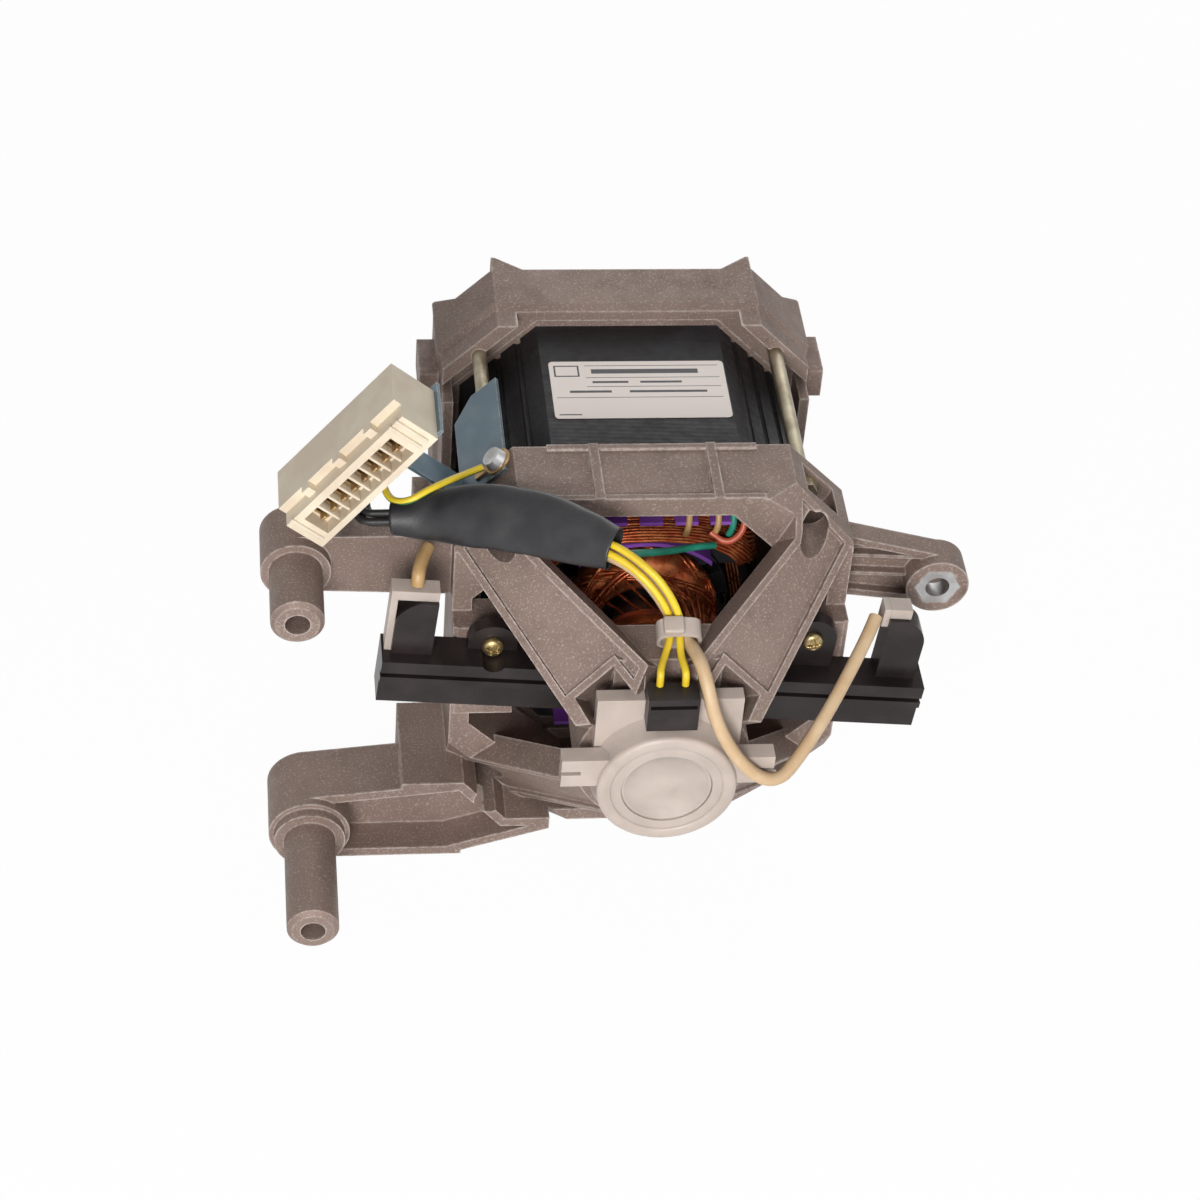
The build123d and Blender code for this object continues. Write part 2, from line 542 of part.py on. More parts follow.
with BuildPart() as brush_end_shield:
    # Rim, open inside; its lower half and sides reach further towards the brush end
    with BuildSketch(across(FLANGE_Y)):
        Polygon(*octagon(FRAME_HALF, FRAME_FLAT_HALF), align=None)
    extrude(amount=BRUSH_RIM_LENGTH)
    with BuildSketch(across(RIM_Y + OVERRUN)):
        Polygon(*octagon(FRAME_HALF, FRAME_FLAT_HALF), align=None)
        with Locations((0, BRUSH_PAD_HALF_HEIGHT)):
            Rectangle(4 * FRAME_HALF, 2 * FRAME_HALF, align=(Align.CENTER, Align.MIN),
                      mode=Mode.SUBTRACT)
    extrude(amount=LOW_RIM_EXTRA + OVERRUN)
    with BuildSketch(across(STACK_BRUSH_Y - BRUSH_FLANGE_LEDGE)):
        Polygon(*octagon(CAVITY_HALF, CAVITY_FLAT_HALF), align=None)
    extrude(amount=BRUSH_RIM_LENGTH + LOW_RIM_EXTRA, mode=Mode.SUBTRACT)
    with BuildSketch(across(FLANGE_Y + OVERRUN)):
        Polygon(*octagon(STACK_HALF, STACK_FLAT_HALF, CASTING_WALL / 2), align=None)
    extrude(amount=BRUSH_LAP + BRUSH_FLANGE_LEDGE + 2 * OVERRUN, mode=Mode.SUBTRACT)
    with BuildSketch(across(FLANGE_Y + OVERRUN)):
        Polygon(*octagon(STACK_HALF, STACK_FLAT_HALF, -SEAT_GAP), align=None)
    extrude(amount=BRUSH_LAP + OVERRUN, mode=Mode.SUBTRACT)
    # Lip below the rotor
    with BuildSketch(across(LOW_RIM_Y + OVERRUN)):
        with Locations((0, -FRAME_HALF)):
            Rectangle(2 * APRON_HALF_WIDTH, CASTING_WALL, align=(Align.CENTER, Align.MIN))
    extrude(amount=APRON_REACH + OVERRUN)
    # Pads that carry the brush holders
    with BuildSketch(across(HOLDER_BACK_Y)):
        for side in (-1, 1):
            with Locations((side * (BRUSH_PAD_INNER + CAVITY_HALF + CASTING_WALL) / 2, 0)):
                Rectangle(CAVITY_HALF + CASTING_WALL - BRUSH_PAD_INNER, 2 * BRUSH_PAD_HALF_HEIGHT)
    extrude(amount=-BRUSH_PAD_DEPTH)
    # Struts, each a slab on its own slanted plane; the rim's corners are cut down to them
    for up, outline in ((1, UPPER_STRUT), (-1, LOWER_STRUT)):
        for side in (-1, 1):
            strut_plane = facet_plane(side, up, (outline[0], outline[-1], outline[2]))
            points = on_plane(strut_plane, side, up, outline)
            root_x = (points[0][0] + points[-1][0]) / 2
            root_y = (points[0][1] + points[-1][1]) / 2
            with BuildSketch(strut_plane):
                with Locations((root_x, root_y)):
                    Circle(2 * BRUSH_RIM_LENGTH)
            extrude(amount=2 * BRUSH_RIM_LENGTH, mode=Mode.SUBTRACT)
            with BuildSketch(strut_plane):
                Polygon(*points, align=None)
            extrude(amount=-STRUT_DEPTH)
            with BuildSketch(strut_plane):
                Polygon(*points, align=None)
                offset(amount=-FACE_RIM, kind=Kind.INTERSECTION, mode=Mode.REPLACE)
            extrude(amount=-FACE_RECESS, mode=Mode.SUBTRACT)
    # Hub, with a raised top between the upper struts
    with BuildSketch(across(HUB_BACK_Y)):
        Circle(HUB_RADIUS)
        with Locations((0, HUB_TOP / 2)):
            Rectangle(2 * HUB_TOP_HALF_WIDTH, HUB_TOP)
    extrude(amount=HUB_LENGTH - HUB_TOP_SETBACK)
    with BuildSketch(across(HUB_BACK_Y)):
        Circle(HUB_RADIUS)
    extrude(amount=HUB_LENGTH)
    # Ribs and lips on the top band
    with BuildSketch(Plane.XY.offset(FRAME_HALF - OVERRUN)):
        for side in (-1, 1):
            with Locations((side * BAND_RIB_HALF_SPACING, (FLANGE_Y + RIM_Y) / 2)):
                Rectangle(BAND_RIB_WIDTH, BRUSH_RIM_LENGTH)
    extrude(amount=OVERRUN + BAND_RIB_HEIGHT)
    with BuildSketch(Plane.XY.offset(FRAME_HALF - OVERRUN)):
        for y in (FLANGE_Y - BAND_LIP_WIDTH / 2, RIM_Y + BAND_LIP_WIDTH / 2):
            with Locations((0, y)):
                Rectangle(2 * CAVITY_FLAT_HALF + 4 * CASTING_WALL, BAND_LIP_WIDTH)
    extrude(amount=OVERRUN + BAND_LIP_HEIGHT)
    # Upper left arm with its pin
    with BuildSketch(across(UPPER_ARM_FACE_Y + ARM_THICKNESS)):
        with BuildLine():
            Polyline((-FRAME_HALF + CASTING_WALL, UPPER_ARM_BOTTOM),
                     (-FRAME_HALF + CASTING_WALL, UPPER_ARM_TOP),
                     (UPPER_PIN_X, UPPER_PIN_Z + UPPER_BOSS_RADIUS),
                     (UPPER_PIN_X, UPPER_PIN_Z - UPPER_BOSS_RADIUS),
                     (-FRAME_HALF + CASTING_WALL, UPPER_ARM_BOTTOM))
        make_face()
        with Locations((UPPER_PIN_X, UPPER_PIN_Z)):
            Circle(UPPER_BOSS_RADIUS)
    extrude(amount=ARM_THICKNESS)
    with BuildSketch(across(UPPER_BOSS_FACE_Y + UPPER_BOSS_LENGTH)):
        with Locations((UPPER_PIN_X, UPPER_PIN_Z)):
            Circle(UPPER_BOSS_RADIUS)
    extrude(amount=UPPER_BOSS_LENGTH)
    # Lower left arm: a channel open towards the brush end, ending in the long pin's boss
    beam = [(-FRAME_HALF + CASTING_WALL, LOWER_BEAM_TOP),
            (LOWER_PIN_X, LOWER_PIN_Z + LOWER_BOSS_RADIUS),
            (LOWER_PIN_X, LOWER_BEAM_BOTTOM), (-FRAME_HALF, LOWER_BEAM_BOTTOM),
            (-APRON_HALF_WIDTH, -FRAME_HALF), (-APRON_HALF_WIDTH, -FRAME_HALF + CASTING_WALL),
            (-FRAME_FLAT_HALF, -FRAME_HALF + CASTING_WALL)]
    with BuildSketch(across(LOWER_BEAM_FACE_Y + LOWER_BEAM_DEPTH)):
        Polygon(*beam, align=None)
        with Locations((LOWER_PIN_X, LOWER_PIN_Z)):
            Circle(LOWER_BOSS_RADIUS)
    extrude(amount=LOWER_BEAM_DEPTH)
    with BuildSketch(across(LOWER_BEAM_FACE_Y + LOWER_BEAM_ROOT_DEPTH)):
        Polygon((-FRAME_HALF + CASTING_WALL, LOWER_BEAM_TOP), (-LOWER_ROOT_X, LOWER_BEAM_TOP),
                (-LOWER_ROOT_X, LOWER_BEAM_BOTTOM), (-FRAME_HALF + CASTING_WALL, LOWER_BEAM_BOTTOM),
                align=None)
    extrude(amount=LOWER_BEAM_ROOT_DEPTH)
    with BuildSketch(across(LOWER_BEAM_FACE_Y)):
        Polygon(*beam, align=None)
        offset(amount=-LOWER_BEAM_LIP, kind=Kind.INTERSECTION, mode=Mode.REPLACE)
        with Locations((LOWER_PIN_X, LOWER_PIN_Z)):
            Circle(LOWER_BOSS_RADIUS, mode=Mode.SUBTRACT)
    extrude(amount=-LOWER_BEAM_RECESS, mode=Mode.SUBTRACT)
    for y, radius, length in (
            (LOWER_BEAM_FACE_Y, LOWER_BOSS_RADIUS, LOWER_BEAM_FACE_Y - LOWER_BOSS_FACE_Y),
            (LOWER_BOSS_FACE_Y, LOWER_COLLAR_RADIUS, LOWER_COLLAR_LENGTH)):
        with BuildSketch(across(y)):
            with Locations((LOWER_PIN_X, LOWER_PIN_Z)):
                Circle(radius)
        extrude(amount=length)
    # Both pins, with a bevelled tip and a blind hole in the end
    for x, z, radius, foot, tip in (
            (UPPER_PIN_X, UPPER_PIN_Z, UPPER_PIN_RADIUS, UPPER_BOSS_FACE_Y, UPPER_PIN_TIP_Y),
            (LOWER_PIN_X, LOWER_PIN_Z, LOWER_PIN_RADIUS, LOWER_BOSS_FACE_Y, LOWER_PIN_TIP_Y)):
        with BuildSketch(across(foot)):
            with Locations((x, z)):
                Circle(radius)
        extrude(amount=foot - tip - PIN_CHAMFER)
        with BuildSketch(across(tip + PIN_CHAMFER)):
            with Locations((x, z)):
                Circle(radius)
        extrude(amount=PIN_CHAMFER, taper=BEVEL)
        with BuildSketch(across(tip - OVERRUN)):
            with Locations((x, z)):
                Circle(PIN_HOLE_RADIUS)
        extrude(amount=-PIN_HOLE_DEPTH - OVERRUN, mode=Mode.SUBTRACT)
    # Right arm with its eye; its face is hollowed between two ribs
    right_arm = [(FRAME_HALF - CASTING_WALL, RIGHT_ARM_BOTTOM),
                 (FRAME_HALF - CASTING_WALL, RIGHT_ARM_TOP),
                 (RIGHT_EYE_X, RIGHT_EYE_Z + RIGHT_EYE_RADIUS),
                 (RIGHT_EYE_X, RIGHT_EYE_Z - RIGHT_EYE_RADIUS)]
    with BuildSketch(across(RIGHT_ARM_FACE_Y + RIGHT_ARM_THICKNESS)):
        Polygon(*right_arm, align=None)
    extrude(amount=RIGHT_ARM_THICKNESS)
    with BuildSketch(across(RIGHT_ARM_FACE_Y)):
        Polygon(*right_arm, align=None)
        offset(amount=-FACE_RIM, kind=Kind.INTERSECTION, mode=Mode.REPLACE)
        for share in RIGHT_ARM_RIB_SHARES:
            with Locations((RIGHT_EYE_X, RIGHT_ARM_BOTTOM + share * (RIGHT_ARM_TOP - RIGHT_ARM_BOTTOM))):
                Rectangle(FRAME_HALF, RIGHT_RIB_WIDTH, rotation=RIGHT_RIB_ANGLE, mode=Mode.SUBTRACT)
    extrude(amount=-2 * FACE_RECESS, mode=Mode.SUBTRACT)
    with BuildSketch(across(RIGHT_ARM_FACE_Y + RIGHT_ARM_THICKNESS)):
        with Locations((RIGHT_EYE_X, RIGHT_EYE_Z)):
            Circle(RIGHT_EYE_RADIUS)
    extrude(amount=RIGHT_ARM_THICKNESS + RIGHT_ARM_FACE_Y - RIGHT_EYE_FACE_Y)
    with BuildSketch(across(RIGHT_EYE_FACE_Y)):
        with Locations((RIGHT_EYE_X, RIGHT_EYE_Z)):
            RegularPolygon(NUT_ACROSS_FLATS / 2 + SEAT_GAP, 6, major_radius=False)
    extrude(amount=-NUT_HEIGHT, mode=Mode.SUBTRACT)
    with BuildSketch(across(RIGHT_EYE_FACE_Y)):
        with Locations((RIGHT_EYE_X, RIGHT_EYE_Z)):
            Circle(NUT_BORE_RADIUS + SLIDE_GAP)
    extrude(amount=-4 * RIGHT_EYE_RADIUS, mode=Mode.SUBTRACT)
    # Bolt holes, the way in for their heads, and the scallops round the heads
    with BuildSketch(across(FLANGE_Y + OVERRUN)):
        with Locations(*square_corners(BOLT_OFFSET)):
            Circle(BOLT_RADIUS + SEAT_GAP)
    extrude(amount=BOLT_FLANGE_DEPTH + 2 * OVERRUN, mode=Mode.SUBTRACT)
    with BuildSketch(across(BOLT_SEAT_Y)):
        with Locations(*square_corners(BOLT_OFFSET)):
            Circle(BOLT_POCKET_RADIUS)
    extrude(amount=3 * BRUSH_RIM_LENGTH, mode=Mode.SUBTRACT)
    with BuildSketch(across(BOLT_SEAT_Y)):
        with Locations((BOLT_OFFSET, BOLT_OFFSET), (-BOLT_OFFSET, -BOLT_OFFSET),
                       (BOLT_OFFSET, -BOLT_OFFSET)):
            Circle(BOLT_SCALLOP_RADIUS)
    extrude(amount=BOLT_SCALLOP_LENGTH, mode=Mode.SUBTRACT)
    # Tapped holes for the brush holder screws and the earth screw
    with BuildSketch(across(HOLDER_BACK_Y - OVERRUN)):
        with Locations((-EAR_X, EAR_HEIGHT), (EAR_X, EAR_HEIGHT)):
            Circle(HOLDER_SCREW_RADIUS + SEAT_GAP)
    extrude(amount=-(HOLDER_SCREW_LENGTH + OVERRUN), mode=Mode.SUBTRACT)
    with BuildSketch(facet_frame.offset(OVERRUN)):
        with Locations((EARTH_ALONG, EARTH_Y - FLANGE_Y)):
            Circle(EARTH_SCREW_RADIUS + SEAT_GAP)
    extrude(amount=-(EARTH_SCREW_LENGTH + OVERRUN), mode=Mode.SUBTRACT)
    # Bearing seat in the hub, and room for the sensor cap and its plug in front
    with BuildSketch(across(HUB_BACK_Y + OVERRUN)):
        Circle(BRUSH_BEARING[1] / 2 + SEAT_GAP)
    extrude(amount=HUB_LENGTH - HUB_SHOULDER + OVERRUN, mode=Mode.SUBTRACT)
    with BuildSketch(across(HUB_Y)):
        Circle(CAP_RADIUS + SLIDE_GAP)
        with Locations((0, CAP_HEAD_TOP / 2)):
            Rectangle(2 * (CAP_HEAD_HALF_WIDTH + SLIDE_GAP), CAP_HEAD_TOP + 2 * SLIDE_GAP)
        with Locations((0, PLUG_TOP / 2)):
            Rectangle(2 * (PLUG_HALF_WIDTH + SLIDE_GAP), PLUG_TOP + 2 * SLIDE_GAP)
    extrude(amount=HUB_LENGTH, mode=Mode.SUBTRACT)
    with BuildSketch(across(HUB_Y)):
        Circle(CAP_RADIUS - CAP_WALL - SEAT_GAP)
    extrude(amount=HUB_SPIGOT)
    with BuildSketch(across(HUB_BACK_Y)):
        Circle(BRUSH_BEARING[1] / 2 - 2 * FILLET_MEDIUM)
    extrude(amount=2 * HUB_LENGTH, mode=Mode.SUBTRACT)
save(brush_end_shield.part, "brush_end_shield")
brush_bearing_y = HUB_Y + HUB_SHOULDER + BRUSH_BEARING[2] / 2


# Through bolts with flanged hexagon heads
with BuildPart() as through_bolts:
    bolt_tip_y = DRIVE_LIP_Y + BOLT_END - SLIDE_GAP
    with BuildSketch(across(bolt_tip_y)):
        with Locations(*square_corners(BOLT_OFFSET)):
            Circle(BOLT_RADIUS)
    extrude(amount=bolt_tip_y - BOLT_SEAT_Y)
    with BuildSketch(across(BOLT_SEAT_Y)):
        with Locations(*square_corners(BOLT_OFFSET)):
            Circle(BOLT_HEAD_RADIUS)
    extrude(amount=BOLT_HEAD_HEIGHT / 4)
    with BuildSketch(across(BOLT_SEAT_Y)):
        with Locations(*square_corners(BOLT_OFFSET)):
            RegularPolygon(BOLT_HEAD_RADIUS - FILLET_SMALL / 2, 6)
    extrude(amount=BOLT_HEAD_HEIGHT)
save(through_bolts.part, "through_bolts")

# Bare label on the stack
with BuildPart() as rating_label:
    with BuildSketch(Plane.XY.offset(STACK_HALF)):
        with Locations((LABEL_X, STACK_BRUSH_Y + LABEL_TO_BRUSH_SIDE + LABEL_LENGTH / 2)):
            RectangleRounded(LABEL_WIDTH, LABEL_LENGTH, FILLET_MEDIUM)
    extrude(amount=LABEL_THICKNESS)
save(rating_label.part, "rating_label")

# Hexagon nut in the eye of the right arm
with BuildPart() as mounting_nut:
    with BuildSketch(across(RIGHT_EYE_FACE_Y + NUT_HEIGHT)):
        with Locations((RIGHT_EYE_X, RIGHT_EYE_Z)):
            RegularPolygon(NUT_ACROSS_FLATS / 2, 6, major_radius=False)
            Circle(NUT_BORE_RADIUS, mode=Mode.SUBTRACT)
    extrude(amount=NUT_HEIGHT)
save(mounting_nut.part, "mounting_nut")


def turned(profile, name):
    """Part turned about the rotor axis: (radius, y) corners."""
    with BuildPart() as piece:
        with BuildSketch(Plane.XY):
            Polygon(*profile, align=None)
        revolve(axis=Axis.Y)
    save(piece.part, name)
    return piece


# Rotor: shaft, armature, commutator, pulley and magnet
shaft_shoulder_y = drive_bearing_y - DRIVE_BEARING[2] / 2
brush_journal_y = brush_bearing_y + BRUSH_BEARING[2] / 2
shaft_end_y = HUB_Y - HUB_SPIGOT - MAGNET_LENGTH
turned([(0, PULLEY_LENGTH / 2 + PULLEY_STUB), (PULLEY_SEAT_RADIUS, PULLEY_LENGTH / 2 + PULLEY_STUB),
        (PULLEY_SEAT_RADIUS, -PULLEY_LENGTH / 2), (SHAFT_RADIUS, -PULLEY_LENGTH / 2),
        (SHAFT_RADIUS, shaft_shoulder_y), (SHAFT_CORE_RADIUS, shaft_shoulder_y),
        (SHAFT_CORE_RADIUS, COMMUTATOR_Y - COMMUTATOR_LENGTH),
        (SHAFT_BRUSH_RADIUS + FILLET_MEDIUM, COMMUTATOR_Y - COMMUTATOR_LENGTH),
        (SHAFT_BRUSH_RADIUS + FILLET_MEDIUM, brush_journal_y), (SHAFT_BRUSH_RADIUS, brush_journal_y),
        (SHAFT_BRUSH_RADIUS, HUB_Y - FILLET_MEDIUM), (SHAFT_STUB_RADIUS, HUB_Y - FILLET_MEDIUM),
        (SHAFT_STUB_RADIUS, shaft_end_y), (0, shaft_end_y)], "rotor_shaft")

with BuildPart() as armature_core:
    with BuildSketch(across(STACK_DRIVE_Y)):
        Circle(ARMATURE_RADIUS)
        Circle(SHAFT_CORE_RADIUS, mode=Mode.SUBTRACT)
        with PolarLocations(ARMATURE_RADIUS, ARMATURE_SLOTS):
            Rectangle(4 * SLIDE_GAP, SLOT_MOUTH, mode=Mode.SUBTRACT)
        with PolarLocations(ARMATURE_RADIUS - 2 * SLIDE_GAP - SLOT_DEPTH / 2, ARMATURE_SLOTS):
            Rectangle(SLOT_DEPTH, SLOT_WIDTH, mode=Mode.SUBTRACT)
    extrude(amount=STACK_LENGTH)
save(armature_core.part, "armature_core")

with BuildPart() as armature_winding:
    for y, way, head in ((STACK_DRIVE_Y, -1, DRIVE_WINDING_HEAD), (STACK_BRUSH_Y, 1, WINDING_HEAD)):
        with BuildSketch(across(y)):
            Circle(WINDING_OUTER_RADIUS)
            Circle(WINDING_INNER_RADIUS, mode=Mode.SUBTRACT)
        extrude(amount=way * head)
        rim = armature_winding.faces().sort_by(Axis.Y)[-1 if way < 0 else 0].outer_wire().edges()
        fillet(rim, FILLET_LARGE)
    with BuildSketch(across(STACK_DRIVE_Y)):
        with PolarLocations(ARMATURE_RADIUS - 2 * SLIDE_GAP - SLOT_DEPTH / 2, ARMATURE_SLOTS):
            Rectangle(SLOT_DEPTH - 4 * SLIDE_GAP, SLOT_WIDTH - 2 * SLIDE_GAP)
    extrude(amount=STACK_LENGTH)
save(armature_winding.part, "armature_winding")

with BuildPart() as commutator:
    with BuildSketch(across(COMMUTATOR_Y)):
        Circle(COMMUTATOR_RADIUS)
        Circle(SHAFT_CORE_RADIUS, mode=Mode.SUBTRACT)
        with PolarLocations(COMMUTATOR_RADIUS, COMMUTATOR_BARS):
            Rectangle(2 * BAR_GROOVE, BAR_GROOVE, mode=Mode.SUBTRACT)
    extrude(amount=COMMUTATOR_LENGTH)
    with BuildSketch(across(COMMUTATOR_Y)):
        Circle(COMMUTATOR_RADIUS + RISER_HEIGHT)
        Circle(SHAFT_CORE_RADIUS, mode=Mode.SUBTRACT)
    extrude(amount=RISER_WIDTH)
save(commutator.part, "commutator")

# Drive pulley: V ribs between two low flanges
pulley_half = PULLEY_LENGTH / 2
rib_start = PULLEY_RIBS * RIB_PITCH / 2
pulley_profile = [(PULLEY_SEAT_RADIUS, pulley_half), (PULLEY_FLANGE_RADIUS, pulley_half),
                  (PULLEY_FLANGE_RADIUS, pulley_half - PULLEY_FLANGE / 2),
                  (PULLEY_RADIUS - RIB_DEPTH, rib_start)]
for rib in range(PULLEY_RIBS):
    top = rib_start - rib * RIB_PITCH
    pulley_profile += [(PULLEY_RADIUS, top - RIB_PITCH / 2), (PULLEY_RADIUS - RIB_DEPTH, top - RIB_PITCH)]
pulley_profile += [(PULLEY_FLANGE_RADIUS, PULLEY_FLANGE / 2 - pulley_half),
                   (PULLEY_FLANGE_RADIUS, -pulley_half), (PULLEY_SEAT_RADIUS, -pulley_half)]
turned(pulley_profile, "drive_pulley")

turned([(SHAFT_STUB_RADIUS, shaft_end_y), (SHAFT_STUB_RADIUS, shaft_end_y + MAGNET_LENGTH),
        (MAGNET_RADIUS, shaft_end_y + MAGNET_LENGTH), (MAGNET_RADIUS, shaft_end_y)], "tacho_magnet")


def ball_bearing(sizes, y, end):
    """Outer ring, inner ring, and the balls in their cage, centred at y."""
    bore, outside, width = (sizes[0] / 2, sizes[1] / 2, sizes[2])
    space = outside - bore
    middle = (outside + bore) / 2
    ball = BALL_SHARE * space
    rings = (("outer", outside - RING_SHARE * space, outside),
             ("inner", bore, bore + RING_SHARE * space))
    for ring, low, high in rings:
        with BuildPart() as race:
            with BuildSketch(Plane.XY):
                with Locations(((low + high) / 2, y)):
                    Rectangle(high - low, width)
                with Locations((middle, y)):
                    Circle(ball + BALL_GAP, mode=Mode.SUBTRACT)
            revolve(axis=Axis.Y)
        save(race.part, f"{end}_bearing_{ring}_ring")
    with BuildPart() as balls:
        with BuildSketch(across(y + ball * CAGE_SHARE)):
            Circle(middle + CAGE_WALL / 2)
            Circle(middle - CAGE_WALL / 2, mode=Mode.SUBTRACT)
        extrude(amount=2 * ball * CAGE_SHARE)
        with Locations(Location((0, y, 0), (90, 0, 0))):
            with PolarLocations(middle, BALLS):
                Sphere(ball)
    save(balls.part, f"{end}_bearing_balls")


ball_bearing(DRIVE_BEARING, drive_bearing_y, "drive")
ball_bearing(BRUSH_BEARING, brush_bearing_y, "brush")


# Brush gear on each side
channel_y = HOLDER_BACK_Y - HOLDER_DEPTH / 2


def terminal_arm_height(side):
    return TERMINAL_ARM_HEIGHT - LEFT_ARM_DROP if side < 0 else TERMINAL_ARM_HEIGHT


def brush_gear(side, name):
    """Holder, carbon brush and spring of one side; x runs out along the brush line."""
    def span(x0, x1, z0, z1):
        with Locations((side * (x0 + x1) / 2, (z0 + z1) / 2)):
            return Rectangle(x1 - x0, z1 - z0)

    tilt = radians(BRUSH_ANGLE)
    ear_x = EAR_X * cos(tilt) - side * EAR_HEIGHT * sin(tilt)
    ear_z = EAR_HEIGHT * cos(tilt) + side * EAR_X * sin(tilt)
    with BuildPart() as holder:
        with BuildSketch(brush_plane(HOLDER_BACK_Y)):
            span(HOLDER_INNER, HOLDER_OUTER, -HOLDER_HALF_HEIGHT, HOLDER_HALF_HEIGHT)
        extrude(amount=HOLDER_DEPTH - RAIL_DEPTH)
        with BuildSketch(brush_plane(HOLDER_BACK_Y)):
            rail_top = HOLDER_HALF_HEIGHT
            for height in RAIL_HEIGHTS:
                span(HOLDER_INNER, HOLDER_OUTER, rail_top - height, rail_top)
                rail_top -= height + RAIL_GROOVE
        extrude(amount=HOLDER_DEPTH)
        # Ear for the screw
        with BuildSketch(brush_plane(HOLDER_BACK_Y)):
            with Locations((side * ear_x, ear_z)):
                Circle(EAR_RADIUS)
            span(ear_x - EAR_RADIUS, ear_x + EAR_RADIUS, 0, ear_z)
        extrude(amount=EAR_THICKNESS)
        # Terminal arm with its rounded outer corner
        with BuildSketch(brush_plane(HOLDER_BACK_Y)):
            arm_top = HOLDER_HALF_HEIGHT + terminal_arm_height(side)
            arm_outer = HOLDER_OUTER - TERMINAL_ARM_INSET
            span(arm_outer - TERMINAL_ARM_WIDTH, arm_outer, 0, arm_top)
            outer = [v for v in vertices() if v.Y > HOLDER_HALF_HEIGHT and side * v.X > arm_outer - SEAT_GAP]
            fillet(outer, TERMINAL_ARM_ROUND)
        extrude(amount=TERMINAL_ARM_DEPTH)
        # Screw hole and brush channel
        with BuildSketch(brush_plane(HOLDER_BACK_Y + OVERRUN)):
            with Locations((side * ear_x, ear_z)):
                Circle(HOLDER_SCREW_RADIUS + SEAT_GAP)
        extrude(amount=HOLDER_DEPTH + 2 * OVERRUN, mode=Mode.SUBTRACT)
        with BuildSketch(brush_plane(HOLDER_BACK_Y - EAR_THICKNESS)):
            with Locations((side * ear_x, ear_z)):
                Circle(HOLDER_SCREW_HEAD + SLIDE_GAP)
        extrude(amount=HOLDER_DEPTH, mode=Mode.SUBTRACT)
        with BuildSketch(brush_plane(channel_y + BRUSH_THICKNESS / 2 + BRUSH_GAP)):
            half = BRUSH_WIDTH / 2 + BRUSH_GAP
            span(HOLDER_INNER - OVERRUN, HOLDER_OUTER - HOLDER_FLOOR, -half, half)
        extrude(amount=BRUSH_THICKNESS + 2 * BRUSH_GAP, mode=Mode.SUBTRACT)
    save(holder.part, f"brush_holder_{name}")
    with BuildPart() as brush:
        with BuildSketch(brush_plane(channel_y + BRUSH_THICKNESS / 2)):
            span(COMMUTATOR_RADIUS / 2, COMMUTATOR_RADIUS + BRUSH_LENGTH, -BRUSH_WIDTH / 2, BRUSH_WIDTH / 2)
            Circle(COMMUTATOR_RADIUS + BRUSH_GAP, mode=Mode.SUBTRACT)
        extrude(amount=BRUSH_THICKNESS)
    save(brush.part, f"carbon_brush_{name}")
    with BuildPart() as spring:
        with BuildSketch(Plane(brush_plane(channel_y).origin, x_dir=(0, 1, 0),
                               z_dir=brush_plane(channel_y).x_dir * side).offset(
                                   COMMUTATOR_RADIUS + BRUSH_LENGTH)):
            Circle(SPRING_RADIUS)
            Circle(SPRING_RADIUS - SPRING_WIRE, mode=Mode.SUBTRACT)
        extrude(amount=HOLDER_OUTER - HOLDER_FLOOR - COMMUTATOR_RADIUS - BRUSH_LENGTH)
    save(spring.part, f"brush_spring_{name}")


brush_gear(-1, "left")
brush_gear(1, "right")

with BuildPart() as brush_holder_screws:
    with BuildSketch(across(HOLDER_BACK_Y - EAR_THICKNESS)):
        with Locations((-EAR_X, EAR_HEIGHT), (EAR_X, EAR_HEIGHT)):
            Circle(HOLDER_SCREW_RADIUS)
    extrude(amount=-(EAR_THICKNESS + HOLDER_SCREW_LENGTH - SLIDE_GAP))
    with BuildSketch(across(HOLDER_BACK_Y - EAR_THICKNESS)):
        with Locations((-EAR_X, EAR_HEIGHT), (EAR_X, EAR_HEIGHT)):
            Circle(HOLDER_SCREW_HEAD)
    extrude(amount=HOLDER_SCREW_HEAD_HEIGHT, taper=HEAD_TAPER)
save(brush_holder_screws.part, "brush_holder_screws")

